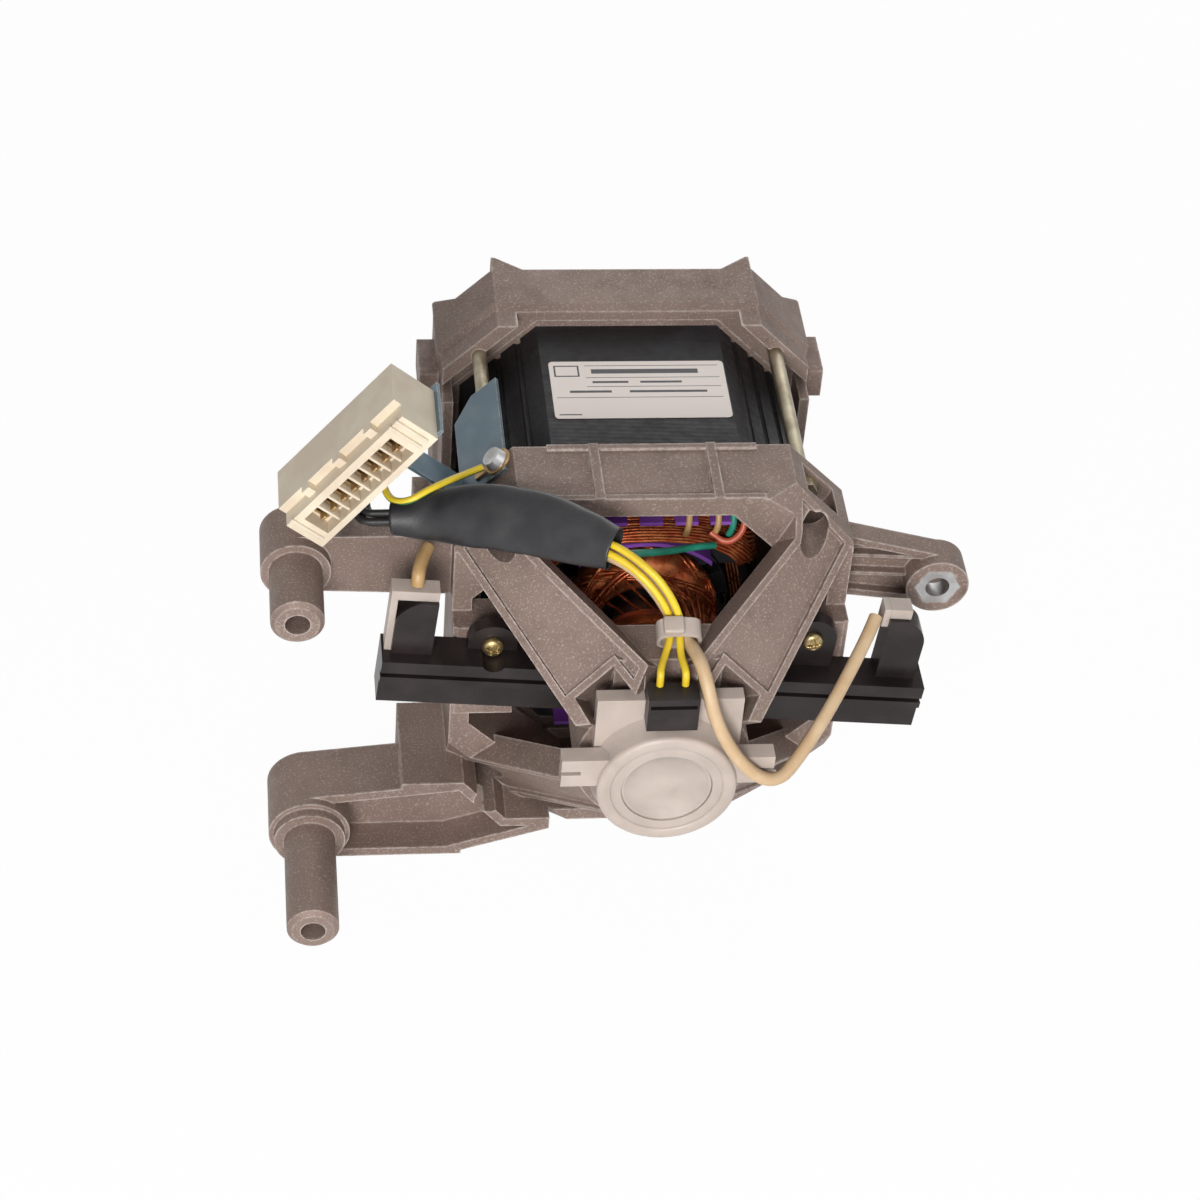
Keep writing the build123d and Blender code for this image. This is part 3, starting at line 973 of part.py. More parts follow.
# Sensor cap on the hub, with its head, side tabs and the opening for the plug
with BuildPart() as tacho_cap:
    with BuildSketch(across(HUB_Y)):
        Circle(CAP_RADIUS)
    extrude(amount=HUB_Y - CAP_FACE_Y)
    with BuildSketch(across(HUB_Y)):
        with Locations((0, CAP_HEAD_TOP / 2)):
            Rectangle(2 * CAP_HEAD_HALF_WIDTH, CAP_HEAD_TOP)
        Circle(CAP_RADIUS - CAP_WALL, mode=Mode.SUBTRACT)
    extrude(amount=CAP_HEAD_DEPTH)
    with BuildSketch(across(CAP_FACE_Y + CAP_TAB_SETBACK + CAP_TAB_THICKNESS)):
        with Locations((0, (CAP_TAB_TOP + CAP_TAB_BOTTOM) / 2)):
            Rectangle(2 * CAP_TAB_REACH, CAP_TAB_TOP - CAP_TAB_BOTTOM)
        Circle(CAP_RADIUS - CAP_WALL, mode=Mode.SUBTRACT)
        for side in (-1, 1):
            with Locations((side * (CAP_TAB_REACH - CAP_TAB_SLOT), (CAP_TAB_TOP + CAP_TAB_BOTTOM) / 2)):
                Rectangle(CAP_TAB_SLOT_LENGTH, CAP_TAB_SLOT, mode=Mode.SUBTRACT)
    extrude(amount=CAP_TAB_THICKNESS)
    # Hollow from the hub side, dished in the middle of the face
    with BuildSketch(across(HUB_Y + OVERRUN)):
        Circle(CAP_RADIUS - CAP_WALL)
    extrude(amount=HUB_Y - CAP_FACE_Y - CAP_FRONT + OVERRUN, mode=Mode.SUBTRACT)
    with BuildSketch(across(CAP_FACE_Y - OVERRUN)):
        Circle(CAP_DISC_RADIUS)
    extrude(amount=-(CAP_DISC_RECESS + OVERRUN), mode=Mode.SUBTRACT)
    # Opening for the plug
    with BuildSketch(across(HUB_Y + OVERRUN)):
        with Locations((0, (PLUG_BOTTOM + CAP_HEAD_TOP) / 2 + OVERRUN)):
            Rectangle(2 * (PLUG_HALF_WIDTH + SEAT_GAP),
                      CAP_HEAD_TOP - PLUG_BOTTOM + 2 * (SEAT_GAP + OVERRUN))
    extrude(amount=2 * CAP_HEAD_DEPTH, mode=Mode.SUBTRACT)
save(tacho_cap.part, "tacho_cap")

# Ring coil of the sensor inside the cap, round the magnet
with BuildPart() as tacho_coil:
    with BuildSketch(across(CAP_FACE_Y + CAP_FRONT + COIL_LENGTH)):
        Circle(COIL_OUTER_RADIUS)
        Circle(COIL_INNER_RADIUS, mode=Mode.SUBTRACT)
    extrude(amount=COIL_LENGTH)
save(tacho_coil.part, "tacho_coil")

# Plug of the sensor leads, with a raised latch bar
with BuildPart() as tacho_plug:
    with BuildSketch(across(PLUG_FACE_Y + PLUG_DEPTH)):
        with Locations((0, (PLUG_TOP + PLUG_BOTTOM) / 2)):
            Rectangle(2 * PLUG_HALF_WIDTH, PLUG_TOP - PLUG_BOTTOM)
    extrude(amount=PLUG_DEPTH)
    with BuildSketch(across(PLUG_FACE_Y - OVERRUN)):
        with Locations((0, PLUG_TOP - (PLUG_TOP - PLUG_BOTTOM) / 4)):
            Rectangle(2 * PLUG_HALF_WIDTH - PLUG_LEDGE, PLUG_LEDGE)
    extrude(amount=-(PLUG_LEDGE + OVERRUN), mode=Mode.SUBTRACT)
save(tacho_plug.part, "tacho_plug")

# Connector block: x runs along it, y away from the motor, the sockets face the brush end
tilt = radians(CONNECTOR_ANGLE)
connector_plane = Plane(origin=(CONNECTOR_X, CONNECTOR_FACE_Y, CONNECTOR_Z),
                        x_dir=(cos(tilt), 0, sin(tilt)), z_dir=(0, -1, 0))
socket_length = TERMINAL_COUNT * TERMINAL_PITCH
socket_x = CONNECTOR_LENGTH * SOCKET_SHARE
with BuildPart() as connector_housing:
    with BuildSketch(connector_plane):
        with Locations((CONNECTOR_LENGTH / 2, CONNECTOR_WIDTH / 2)):
            Rectangle(CONNECTOR_LENGTH, CONNECTOR_WIDTH)
    extrude(amount=-CONNECTOR_DEPTH)
    # Sockets: one long mouth, then a chamber for each terminal
    with BuildSketch(connector_plane.offset(OVERRUN)):
        with Locations((socket_x, SOCKET_Y)):
            Rectangle(socket_length + CONNECTOR_WALL, SOCKET_WIDTH)
    extrude(amount=-(SOCKET_MOUTH + OVERRUN), mode=Mode.SUBTRACT)
    with BuildSketch(connector_plane):
        with Locations((socket_x, SOCKET_Y)):
            with GridLocations(TERMINAL_PITCH, 1, TERMINAL_COUNT, 1):
                Rectangle(TERMINAL_PITCH - CONNECTOR_WALL / 2, SOCKET_WIDTH - CONNECTOR_WALL)
    extrude(amount=-(SOCKET_MOUTH + SOCKET_CHAMBER), mode=Mode.SUBTRACT)
    # Step along the outer side and the latch ribs on it
    with BuildSketch(connector_plane):
        with Locations((CONNECTOR_LENGTH / 2, CONNECTOR_WIDTH)):
            Rectangle(CONNECTOR_LENGTH, 2 * CONNECTOR_STEP)
    extrude(amount=-CONNECTOR_DEPTH / 4, mode=Mode.SUBTRACT)
    with BuildSketch(connector_plane.offset(-CONNECTOR_DEPTH / 4)):
        with Locations((CONNECTOR_LENGTH / 2, CONNECTOR_WIDTH - CONNECTOR_STEP / 2)):
            with GridLocations(3 * TERMINAL_PITCH, 1, LATCH_RIBS, 1):
                Rectangle(2 * CONNECTOR_WALL, CONNECTOR_STEP)
    extrude(amount=CONNECTOR_DEPTH / 8)
save(connector_housing.part, "connector_housing")

with BuildPart() as connector_terminals:
    with BuildSketch(connector_plane.offset(-SOCKET_MOUTH - SOCKET_CHAMBER)):
        with Locations((socket_x, SOCKET_Y)):
            with GridLocations(TERMINAL_PITCH, 1, TERMINAL_COUNT, 1):
                Rectangle(TERMINAL_WIDTH, TERMINAL_HEIGHT)
                Rectangle(TERMINAL_WIDTH - CONNECTOR_WALL, TERMINAL_HEIGHT - CONNECTOR_WALL,
                          mode=Mode.SUBTRACT)
    extrude(amount=SOCKET_CHAMBER + TERMINAL_STANDOUT)
save(connector_terminals.part, "connector_terminals")

# Steel bracket: a foot on the facet, a riser, and a cradle under the connector
with BuildPart() as connector_bracket:
    with BuildSketch(facet_frame):
        with Locations(((BRACKET_START + BRACKET_END) / 2, (BRACKET_NEAR_Y + BRACKET_FAR_Y) / 2 - FLANGE_Y)):
            Rectangle(BRACKET_START - BRACKET_END, BRACKET_FAR_Y - BRACKET_NEAR_Y)
        corner = [v for v in vertices() if v.X < 0 and v.Y > 0]
        chamfer(corner, BRACKET_CORNER)
        with Locations((EARTH_ALONG, EARTH_Y - FLANGE_Y)):
            Circle(EARTH_SCREW_RADIUS + SEAT_GAP, mode=Mode.SUBTRACT)
    extrude(amount=SHEET)
    foot_x = -FACET / SQUARE + BRACKET_END / SQUARE
    foot_z = FACET / SQUARE + BRACKET_END / SQUARE
    foot_x, foot_z = foot_x - SHEET / SQUARE, foot_z + SHEET / SQUARE
    rise = (foot_x - CONNECTOR_X) * sin(tilt) - (foot_z - CONNECTOR_Z) * cos(tilt) - SHEET
    with BuildSketch(across(BRACKET_NEAR_Y)):
        with BuildLine():
            Line((foot_x, foot_z), (foot_x - rise * sin(tilt), foot_z + rise * cos(tilt)))
        trace(line_width=SHEET)
    extrude(amount=-RISER_WIDTH_Y)
    with BuildSketch(connector_plane.offset(-CONNECTOR_DEPTH / 8)):
        with Locations((CONNECTOR_LENGTH / 2, -SEAT_GAP - SHEET / 2)):
            Rectangle(CONNECTOR_LENGTH + 2 * BRACKET_TONGUE, SHEET)
    extrude(amount=-CONNECTOR_DEPTH)
save(connector_bracket.part, "connector_bracket")

# Earth screw, and the ring terminal it clamps on the bracket's foot
with BuildPart() as earth_ring_terminal:
    with BuildSketch(facet_frame.offset(SHEET)):
        with Locations((EARTH_ALONG, EARTH_Y - FLANGE_Y)):
            Circle(RING_OUTER_RADIUS)
        with Locations((EARTH_ALONG - RING_OUTER_RADIUS, EARTH_Y - FLANGE_Y)):
            Rectangle(2 * RING_OUTER_RADIUS, LEAD)
        with Locations((EARTH_ALONG, EARTH_Y - FLANGE_Y)):
            Circle(EARTH_SCREW_RADIUS + SEAT_GAP, mode=Mode.SUBTRACT)
    extrude(amount=RING_THICKNESS)
save(earth_ring_terminal.part, "earth_ring_terminal")

with BuildPart() as earth_screw:
    with BuildSketch(facet_frame.offset(SHEET + RING_THICKNESS)):
        with Locations((EARTH_ALONG, EARTH_Y - FLANGE_Y)):
            Circle(EARTH_SCREW_RADIUS)
    extrude(amount=-(EARTH_SCREW_LENGTH + SHEET + RING_THICKNESS - SLIDE_GAP))
    with BuildSketch(facet_frame.offset(SHEET + RING_THICKNESS)):
        with Locations((EARTH_ALONG, EARTH_Y - FLANGE_Y)):
            Circle(EARTH_HEAD_RADIUS)
    extrude(amount=EARTH_HEAD_HEIGHT, taper=HEAD_TAPER)
save(earth_screw.part, "earth_screw")


def coil_insulator(up, name):
    """Insulator round one pole: end plates, inner collars, outer tabs and slot liners."""
    inner = STACK_BORE_RADIUS + INSULATOR_WALL / 2
    top = STACK_HALF - YOKE_THICKNESS
    half_width = ((INSULATOR_TABS - 1) * TAB_PITCH + TAB_WIDTH) / 2
    with BuildPart() as piece:
        for y, way in ((STACK_DRIVE_Y, -1), (STACK_BRUSH_Y, 1)):
            with BuildSketch(across(y)):
                with Locations((0, up * (inner + top) / 2)):
                    Rectangle(2 * half_width, top - inner)
                Circle(inner, mode=Mode.SUBTRACT)
            extrude(amount=way * INSULATOR_WALL)
            with BuildSketch(across(y)):
                Circle(inner + INSULATOR_WALL)
                Circle(inner, mode=Mode.SUBTRACT)
                with Locations((0, up * inner)):
                    Rectangle(2 * POLE_HALF_WIDTH, inner, mode=Mode.INTERSECT)
            extrude(amount=way * INSULATOR_COLLAR)
            with BuildSketch(across(y)):
                with Locations((0, up * (top - INSULATOR_WALL / 2))):
                    with GridLocations(TAB_PITCH, 1, INSULATOR_TABS, 1):
                        Rectangle(TAB_WIDTH, INSULATOR_WALL)
            extrude(amount=way * INSULATOR_REACH)
        with BuildSketch(across(STACK_DRIVE_Y + INSULATOR_WALL / 2)):
            for side in (-1, 1):
                liner_x = POLE_HALF_WIDTH + SEAT_GAP + INSULATOR_WALL / 2
                with Locations((side * liner_x, up * (top - LINER_HEIGHT / 2 - SEAT_GAP))):
                    Rectangle(INSULATOR_WALL, LINER_HEIGHT)
        extrude(amount=STACK_LENGTH + INSULATOR_WALL)
    save(piece.part, name)


coil_insulator(1, "coil_insulator_upper")
coil_insulator(-1, "coil_insulator_lower")


def coil_corner(step, up):
    """Corner of the winding after so many eighths of a turn."""
    turn = step / 8
    spiral = min(turn, COIL_TURNS - turn) * WIRE_PITCH
    climb = 2 * (turn - COIL_TURNS / 2) + 1 / 2
    layer = min(max(climb, 0.0), 1.0) * WIRE_PITCH
    corner = step % 8
    side = -1 if corner in (0, 1, 6, 7) else 1
    at_brush_end = corner < 4
    if corner in (0, 3, 4, 7):
        x, z = COIL_SLOT_X + layer, COIL_SLOT_Z - spiral + layer * COIL_LAYER_SHARE
    else:
        x, z = COIL_SHOULDER_X + layer * COIL_LAYER_SHARE, COIL_HEAD_Z + layer
    if at_brush_end:
        y = STACK_BRUSH_Y - COIL_OVERHANG - spiral
    else:
        y = STACK_DRIVE_Y + DRIVE_OVERHANG + spiral
    return (side * x, y, up * z)


def least_gap(wire, diameter, apart):
    """Smallest space between stretches of the wire that lie further apart along it."""
    count = int(wire.length / diameter)
    spots = [wire.position_at(i / count) for i in range(count + 1)]
    skip = int(apart / diameter)
    gaps = [(a - b).length for i, a in enumerate(spots) for b in spots[i + skip:]]
    return min(gaps) - diameter


def tube(points, radii, diameter):
    """Round tube along straight runs joined by tangent arcs, made outside the blocks."""
    with BuildPart() as body:
        with BuildLine() as route:
            FilletPolyline(*points, radius=radii)
        path = route.wire()
        with BuildSketch(Plane(origin=path @ 0, z_dir=path % 0)):
            Circle(diameter / 2)
        sweep(path=path)
    return body.part, path


def field_coil(up, name):
    middle = (STACK_BRUSH_Y + STACK_DRIVE_Y) / 2
    corners = [coil_corner(step, up) for step in range(8 * COIL_TURNS)]
    first = (corners[0][0], middle, corners[0][2])
    last = (corners[-1][0], middle, corners[-1][2])
    coil, path = tube([first, *corners, last], COIL_BEND, WIRE)
    print(name, "least gap", round(least_gap(path, WIRE, 4 * COIL_BEND), 2),
          "volume share", round(coil.volume / (pi * WIRE ** 2 / 4 * path.length), 3))
    save(coil, name)


field_coil(1, "field_coil_upper")
field_coil(-1, "field_coil_lower")


# Leads: every route is a list of points, its arcs as large as the runs allow
def bend_radii(points):
    spots = [Vector(*p) for p in points]
    radii = []
    for before, here, after in zip(spots, spots[1:], spots[2:]):
        turn = radians((here - before).get_angle(after - here))
        run = min((here - before).length, (after - here).length)
        radii.append(BEND_SHARE * run / tan(turn / 2))
    return radii


def lead(points, diameter):
    radii = bend_radii(points)
    body, path = tube(points, radii, diameter)
    print("lead", diameter, "length", round(path.length, 1), "radii", [round(r, 1) for r in radii],
          "volume share", round(body.volume / (pi * diameter ** 2 / 4 * path.length), 3))
    return body


def leads(name, routes, diameter):
    bodies = [lead(route, diameter) for route in routes]
    with BuildPart() as group:
        for body in bodies:
            add(body)
    save(group.part, name)


# Black sleeve over the leads, flattened where it lies on the left strut
SLEEVE_ROUTE = ((-84, -140, 51), (-72, -142.5, 53.5), (-60, -147, 57.5), (-48, -152.7, 60.8),
                (-36, -159.6, 63.2), (-25, -167.2, 64.6), (-17, -172.5, 65))
SLEEVE_HALF_WIDTHS = (5.4, 7.8, 10.0, 10.4, 10.0, 8.6, 6.8)
SLEEVE_HALF_HEIGHTS = (4.4, 4.2, 4.5, 4.6, 4.6, 4.6, 4.7)
sleeve_up = Vector(-0.47, -0.58, 0.66)
spots = [Vector(*p) for p in SLEEVE_ROUTE]
sleeve_planes = []
for i, spot in enumerate(spots):
    direction = spots[min(i + 1, len(spots) - 1)] - spots[max(i - 1, 0)]
    sleeve_planes.append(Plane(origin=spot, x_dir=direction.cross(sleeve_up), z_dir=direction))
with BuildPart() as cable_sleeve:
    for plane, half_width, half_height in zip(sleeve_planes, SLEEVE_HALF_WIDTHS, SLEEVE_HALF_HEIGHTS):
        with BuildSketch(plane):
            Ellipse(half_width, half_height)
    loft()
    for plane, half_width, half_height, way in (
            (sleeve_planes[0], SLEEVE_HALF_WIDTHS[0], SLEEVE_HALF_HEIGHTS[0], 1),
            (sleeve_planes[-1], SLEEVE_HALF_WIDTHS[-1], SLEEVE_HALF_HEIGHTS[-1], -1)):
        with BuildSketch(plane.offset(-way * OVERRUN)):
            Ellipse(half_width - SLEEVE_WALL, half_height - SLEEVE_WALL)
        extrude(amount=way * (SLEEVE_MOUTH + OVERRUN), mode=Mode.SUBTRACT)
save(cable_sleeve.part, "cable_sleeve")


def in_mouth(end, across_x, across_y, out):
    """Point of a lead near the sleeve's mouth at the start (0) or the end (-1)."""
    plane = sleeve_planes[end]
    way = 1 if end else -1
    spot = plane.from_local_coords(Vector(across_x, across_y, way * out))
    return (spot.X, spot.Y, spot.Z)


inside = LEAD_SETBACK - SLEEVE_MOUTH
leads("yellow_leads", [
    [in_mouth(-1, 4.4, 0.5, inside), in_mouth(-1, 4.4, 0.5, 2.5), (-10, -178.3, 59), (-5, -181, 54.2),
     (-1.6, -183, 49), (-1, -184.5, 44.4), (-1, -190.7, 41.6), (-2.4, -196.5, 41), (-3.8, -201.6, 41),
     (-4, -204, 40), (-4, -204, 36.5)],
    [in_mouth(-1, 1.6, -1.7, inside), in_mouth(-1, 1.6, -1.7, 2.5), (-7.6, -179.8, 61.2),
     (-2.2, -182.4, 56), (1.1, -183.8, 50), (1.7, -184.5, 44.4), (1.7, -190.7, 41.6), (2.4, -196.5, 41),
     (3.8, -201.6, 41), (4, -204, 40), (4, -204, 36.5)]], LEAD)

leads("brush_lead_right", [
    [in_mouth(-1, -3.4, -0.5, inside), in_mouth(-1, -3.4, -0.5, 2.5), (-5, -179.5, 65), (1.8, -184, 58.6),
     (5.3, -185.4, 51), (5.8, -184.5, 44.4), (5.8, -190.7, 41.6), (5.9, -196, 42.2), (8.8, -201.5, 42.8),
     (10.9, -206.8, 37.6), (12.4, -210.6, 31), (15.5, -213, 23.5), (20.8, -214.6, 14.5), (27, -215, 7),
     (34.5, -213.8, 4), (42, -208.5, 7.2), (51, -197, 14), (61, -182.5, 21.5), (68, -171.5, 27),
     (70.6, -166.5, 29.4)]], BRUSH_LEAD)

leads("green_lead", [
    [in_mouth(-1, 0.9, 1.7, inside), in_mouth(-1, 0.9, 1.7, 2.0), (-7.5, -170, 61), (2, -157.5, 50.5),
     (10, -149.5, 44.8), (15.5, -146, 42.6), (20, -143, 40.2)]], LEAD)

leads("brush_lead_left", [
    [(-73, -149.6, 46.8), (-74.6, -153.4, 46.6), (-76, -158.4, 46.2), (-76.6, -161.6, 45),
     (-76.8, -162, 42.2)]], BRUSH_LEAD)


def block_back(along, gap):
    """Point behind the connector block, in line with one of its terminals."""
    spot = connector_plane.from_local_coords(Vector(along, SOCKET_Y, -CONNECTOR_DEPTH - gap))
    return (spot.X, spot.Y, spot.Z)


leads("harness_leads", [
    [block_back(7, 0), block_back(7, 4.5), (-103.2, -112.5, 51.8), (-99.2, -113.8, 48.8),
     (-93.6, -127, 49.2), (-93.6, -137.9, 47.3), in_mouth(0, 1.4, 1.4, 2.5), in_mouth(0, 1.4, 1.4, inside)],
    [block_back(13, 0), block_back(13, 4.5), (-99.8, -112.5, 57), (-97.2, -113.8, 53),
     (-95.6, -127, 51.2), (-95.4, -139.7, 49.3), in_mouth(0, 1.4, -1.4, 2.5),
     in_mouth(0, 1.4, -1.4, inside)],
    [block_back(19, 0), block_back(19, 4.5), (-96.3, -112.5, 61.4), (-94, -113.8, 57),
     (-93.6, -127, 53.2), (-93.6, -137.9, 51.3), in_mouth(0, -1.4, -1.4, 2.5),
     in_mouth(0, -1.4, -1.4, inside)],
    [block_back(25, 0), block_back(25, 4.5), (-92.3, -112.5, 65.8), (-89.8, -113.8, 60.6),
     (-91.6, -127, 51.2), (-91.8, -136.1, 49.3), in_mouth(0, -1.4, 1.4, 2.5),
     in_mouth(0, -1.4, 1.4, inside)]], LEAD)

leads("earth_wire", [
    [(-54.5, -125.5, 59.4), (-58.9, -126.2, 57.4), (-65.5, -130.5, 57.5), (-72.5, -134, 61.5),
     (-79.5, -134.5, 62), (-85, -129, 62), (-86, -119.5, 64.5), block_back(32, 4.5),
     block_back(32, 0)]], LEAD)

# Tie round the leads, above the hub
tie_plane = Plane(origin=(2.9, -187.6, 43.0), x_dir=(1, 0, 0), z_dir=(0, -0.906, -0.423))
with BuildPart() as cable_tie:
    with BuildSketch(tie_plane.offset(-TIE_WIDTH / 2)):
        RectangleRounded(TIE_SPAN, TIE_HEIGHT, TIE_HEIGHT / 2 - SEAT_GAP)
        RectangleRounded(TIE_SPAN - 2 * TIE_THICKNESS, TIE_HEIGHT - 2 * TIE_THICKNESS,
                         TIE_HEIGHT / 2 - TIE_THICKNESS - SEAT_GAP, mode=Mode.SUBTRACT)
    extrude(amount=TIE_WIDTH)
save(cable_tie.part, "cable_tie")


def terminal_boot(side, outer, name):
    """Nylon boot over the top of a terminal arm, with a strip down one side of the arm."""
    arm_height = terminal_arm_height(side)
    arm_top = HOLDER_HALF_HEIGHT + arm_height + SEAT_GAP
    arm_outer = HOLDER_OUTER - TERMINAL_ARM_INSET
    arm_inner = arm_outer - TERMINAL_ARM_WIDTH
    with BuildPart() as boot:
        with BuildSketch(brush_plane(HOLDER_BACK_Y - BOOT_SETBACK)):
            with Locations((side * (arm_inner + BOOT_LENGTH / 2), arm_top + BOOT_HEIGHT / 2)):
                Rectangle(BOOT_LENGTH, BOOT_HEIGHT)
            x = arm_outer + SEAT_GAP + BOOT_STRIP / 2 if outer else arm_inner - SEAT_GAP - BOOT_STRIP / 2
            drop = arm_height - SEAT_GAP if outer else BOOT_HEIGHT
            with Locations((side * x, arm_top + (BOOT_HEIGHT - drop) / 2)):
                Rectangle(BOOT_STRIP, BOOT_HEIGHT + drop)
            if outer:
                with Locations((side * (arm_outer - TERMINAL_ARM_ROUND / 2), arm_top + BOOT_HEIGHT / 2)):
                    Rectangle(TERMINAL_ARM_ROUND + BOOT_STRIP, BOOT_HEIGHT)
        extrude(amount=TERMINAL_ARM_DEPTH - 2 * BOOT_SETBACK)
    save(boot.part, name)


terminal_boot(-1, True, "brush_terminal_boot_left")
terminal_boot(1, False, "brush_terminal_boot_right")
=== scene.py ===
"""Looks of the washing machine motor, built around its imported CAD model."""
import math
import random

import bmesh
import bpy
from mathutils import Matrix, Vector


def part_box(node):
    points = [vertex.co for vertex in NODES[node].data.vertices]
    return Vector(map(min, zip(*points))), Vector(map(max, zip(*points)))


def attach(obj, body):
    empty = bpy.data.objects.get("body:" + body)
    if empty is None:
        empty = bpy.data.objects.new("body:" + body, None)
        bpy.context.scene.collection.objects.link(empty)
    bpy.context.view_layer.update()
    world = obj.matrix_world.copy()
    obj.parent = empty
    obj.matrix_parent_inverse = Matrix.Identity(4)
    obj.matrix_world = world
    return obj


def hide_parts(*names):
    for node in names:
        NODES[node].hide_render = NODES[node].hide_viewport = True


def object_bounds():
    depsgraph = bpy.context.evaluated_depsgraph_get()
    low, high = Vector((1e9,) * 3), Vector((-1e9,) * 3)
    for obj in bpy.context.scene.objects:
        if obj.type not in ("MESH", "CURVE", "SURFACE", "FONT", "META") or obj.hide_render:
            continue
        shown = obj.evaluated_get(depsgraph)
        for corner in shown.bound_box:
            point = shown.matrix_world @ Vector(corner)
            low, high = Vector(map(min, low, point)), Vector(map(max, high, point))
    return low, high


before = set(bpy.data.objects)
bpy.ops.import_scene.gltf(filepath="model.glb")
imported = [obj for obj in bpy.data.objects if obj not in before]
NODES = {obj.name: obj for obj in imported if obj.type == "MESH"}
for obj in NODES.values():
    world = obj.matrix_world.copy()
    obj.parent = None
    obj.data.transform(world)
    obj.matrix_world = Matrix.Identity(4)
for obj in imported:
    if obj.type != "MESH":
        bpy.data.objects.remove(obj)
cad_box = [list(map(float, corner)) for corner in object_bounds()]
MM = 0.001
FULL_TURN = 2 * math.pi
FORWARD = (0, -1, 0)  # toward the brush end

# Sockets that share their names with others, by number
MIX_SHARE, MIX_UNDER, MIX_OVER, MIX_COLOR = 0, 6, 7, 2
RANGE_SOCKETS = (1, 2, 3, 4)  # from low, from high, to low, to high


# Materials: every one is made of nodes in the model's own coordinates
class Shader:
    """One node material with a few short ways to add what it needs."""

    def __init__(self, name, color, rough, metallic=0.0, specular=None):
        self.mat = bpy.data.materials.new(name)
        self.mat.use_nodes = True
        self.tree = self.mat.node_tree
        self.bsdf = self.tree.nodes["Principled BSDF"]
        self.bsdf.inputs["Metallic"].default_value = metallic
        self.bsdf.inputs["Roughness"].default_value = rough
        self.bsdf.inputs["Base Color"].default_value = (*color, 1)
        if specular is not None:
            self.bsdf.inputs["Specular IOR Level"].default_value = specular
        self.color = (*color, 1)
        self.coord = self.add("ShaderNodeTexCoord").outputs["Object"]

    def add(self, kind, **inputs):
        node = self.tree.nodes.new(kind)
        for key, value in inputs.items():
            self.put(node, key, value)
        return node

    def put(self, node, key, value):
        socket = node.inputs[key.replace("_", " ")] if isinstance(key, str) else node.inputs[key]
        if isinstance(value, bpy.types.NodeSocket):
            self.tree.links.new(value, socket)
        else:
            socket.default_value = value

    def noise(self, scale, detail, rough=0.5, stretch=None):
        vector = self.coord
        if stretch:
            vector = self.add("ShaderNodeMapping", Vector=vector, Scale=stretch).outputs["Vector"]
        node = self.add("ShaderNodeTexNoise", Vector=vector, Scale=scale, Detail=detail, Roughness=rough)
        return node.outputs["Fac"]

    def ramp(self, source, low, high, a=0.0, b=1.0):
        node = self.add("ShaderNodeMapRange", Value=source)
        for index, value in zip(RANGE_SOCKETS, (low, high, a, b)):
            node.inputs[index].default_value = value
        return node.outputs["Result"]

    def math(self, kind, a, b):
        node = self.tree.nodes.new("ShaderNodeMath")
        node.operation = kind
        self.put(node, 0, a)
        self.put(node, 1, b)
        return node.outputs[0]

    def axis(self, letter):
        """The place along one axis, in metres."""
        return self.add("ShaderNodeSeparateXYZ", Vector=self.coord).outputs[letter]

    def mix(self, factor, color):
        """Lays a colour over what is there, by the factor."""
        node = self.tree.nodes.new("ShaderNodeMix")
        node.data_type = "RGBA"
        self.put(node, MIX_SHARE, factor)
        self.put(node, MIX_UNDER, self.color)
        self.put(node, MIX_OVER, (*color, 1))
        self.color = node.outputs[MIX_COLOR]
        self.tree.links.new(self.color, self.bsdf.inputs["Base Color"])

    def patches(self, color, scale, detail, low, high, share=1.0, rough=0.5, stretch=None):
        """Lays a colour where a noise rises from low to high."""
        factor = self.ramp(self.noise(scale, detail, rough, stretch), low, high)
        self.mix(self.math("MULTIPLY", factor, share) if share < 1 else factor, color)

    def rough(self, scale, detail, low, high):
        result = self.ramp(self.noise(scale, detail), 0.3, 0.7, low, high)
        self.tree.links.new(result, self.bsdf.inputs["Roughness"])

    def bump(self, source, depth, strength=1.0):
        """Adds relief to what is there; the depth is in metres."""
        node = self.add("ShaderNodeBump", Height=source, Distance=depth, Strength=strength)
        for link in self.bsdf.inputs["Normal"].links:
            self.put(node, "Normal", link.from_socket)
        self.tree.links.new(node.outputs["Normal"], self.bsdf.inputs["Normal"])

    def grain(self, scale, detail, depth, stretch=None):
        self.bump(self.noise(scale, detail, 0.5, stretch), depth)

    def edges(self, radius, color):
        """Painted highlight on edges: a lighter colour where a bevelled normal leaves the true one."""
        gain = 3.5
        soft = self.add("ShaderNodeBevel", Radius=radius)
        true = self.add("ShaderNodeNewGeometry").outputs["True Normal"]
        dot = self.tree.nodes.new("ShaderNodeVectorMath")
        dot.operation = "DOT_PRODUCT"
        self.put(dot, 0, soft.outputs["Normal"])
        self.put(dot, 1, true)
        # Painted highlight: how strongly the lighter edge colour is laid on, broken up by noise
        edge_highlight = self.math("MULTIPLY", self.math("SUBTRACT", 1.0, dot.outputs["Value"]), gain)
        edge_highlight = self.math("MULTIPLY", edge_highlight, self.ramp(self.noise(420, 4), 0.3, 0.65))
        self.mix(self.math("MINIMUM", edge_highlight, 1.0), color)


def cast_metal(name, color, bright, dark, speckle):
    m = Shader(name, color, rough=0.55, metallic=0.25, specular=0.25)
    m.patches(bright, 30, 4, 0.40, 0.68, share=0.6, rough=0.6)
    m.patches(dark, 70, 5, 0.58, 0.74, share=0.55, rough=0.65)
    m.patches(speckle, 1500, 2, 0.56, 0.68, share=0.55)
    # Painted highlight: a pale colour along the casting's rounded edges
    m.edges(0.0013, (0.66, 0.58, 0.53))
    m.rough(160, 3, 0.46, 0.64)
    m.grain(1300, 3, 0.00010)
    m.grain(210, 3, 0.00012)
    return m.mat


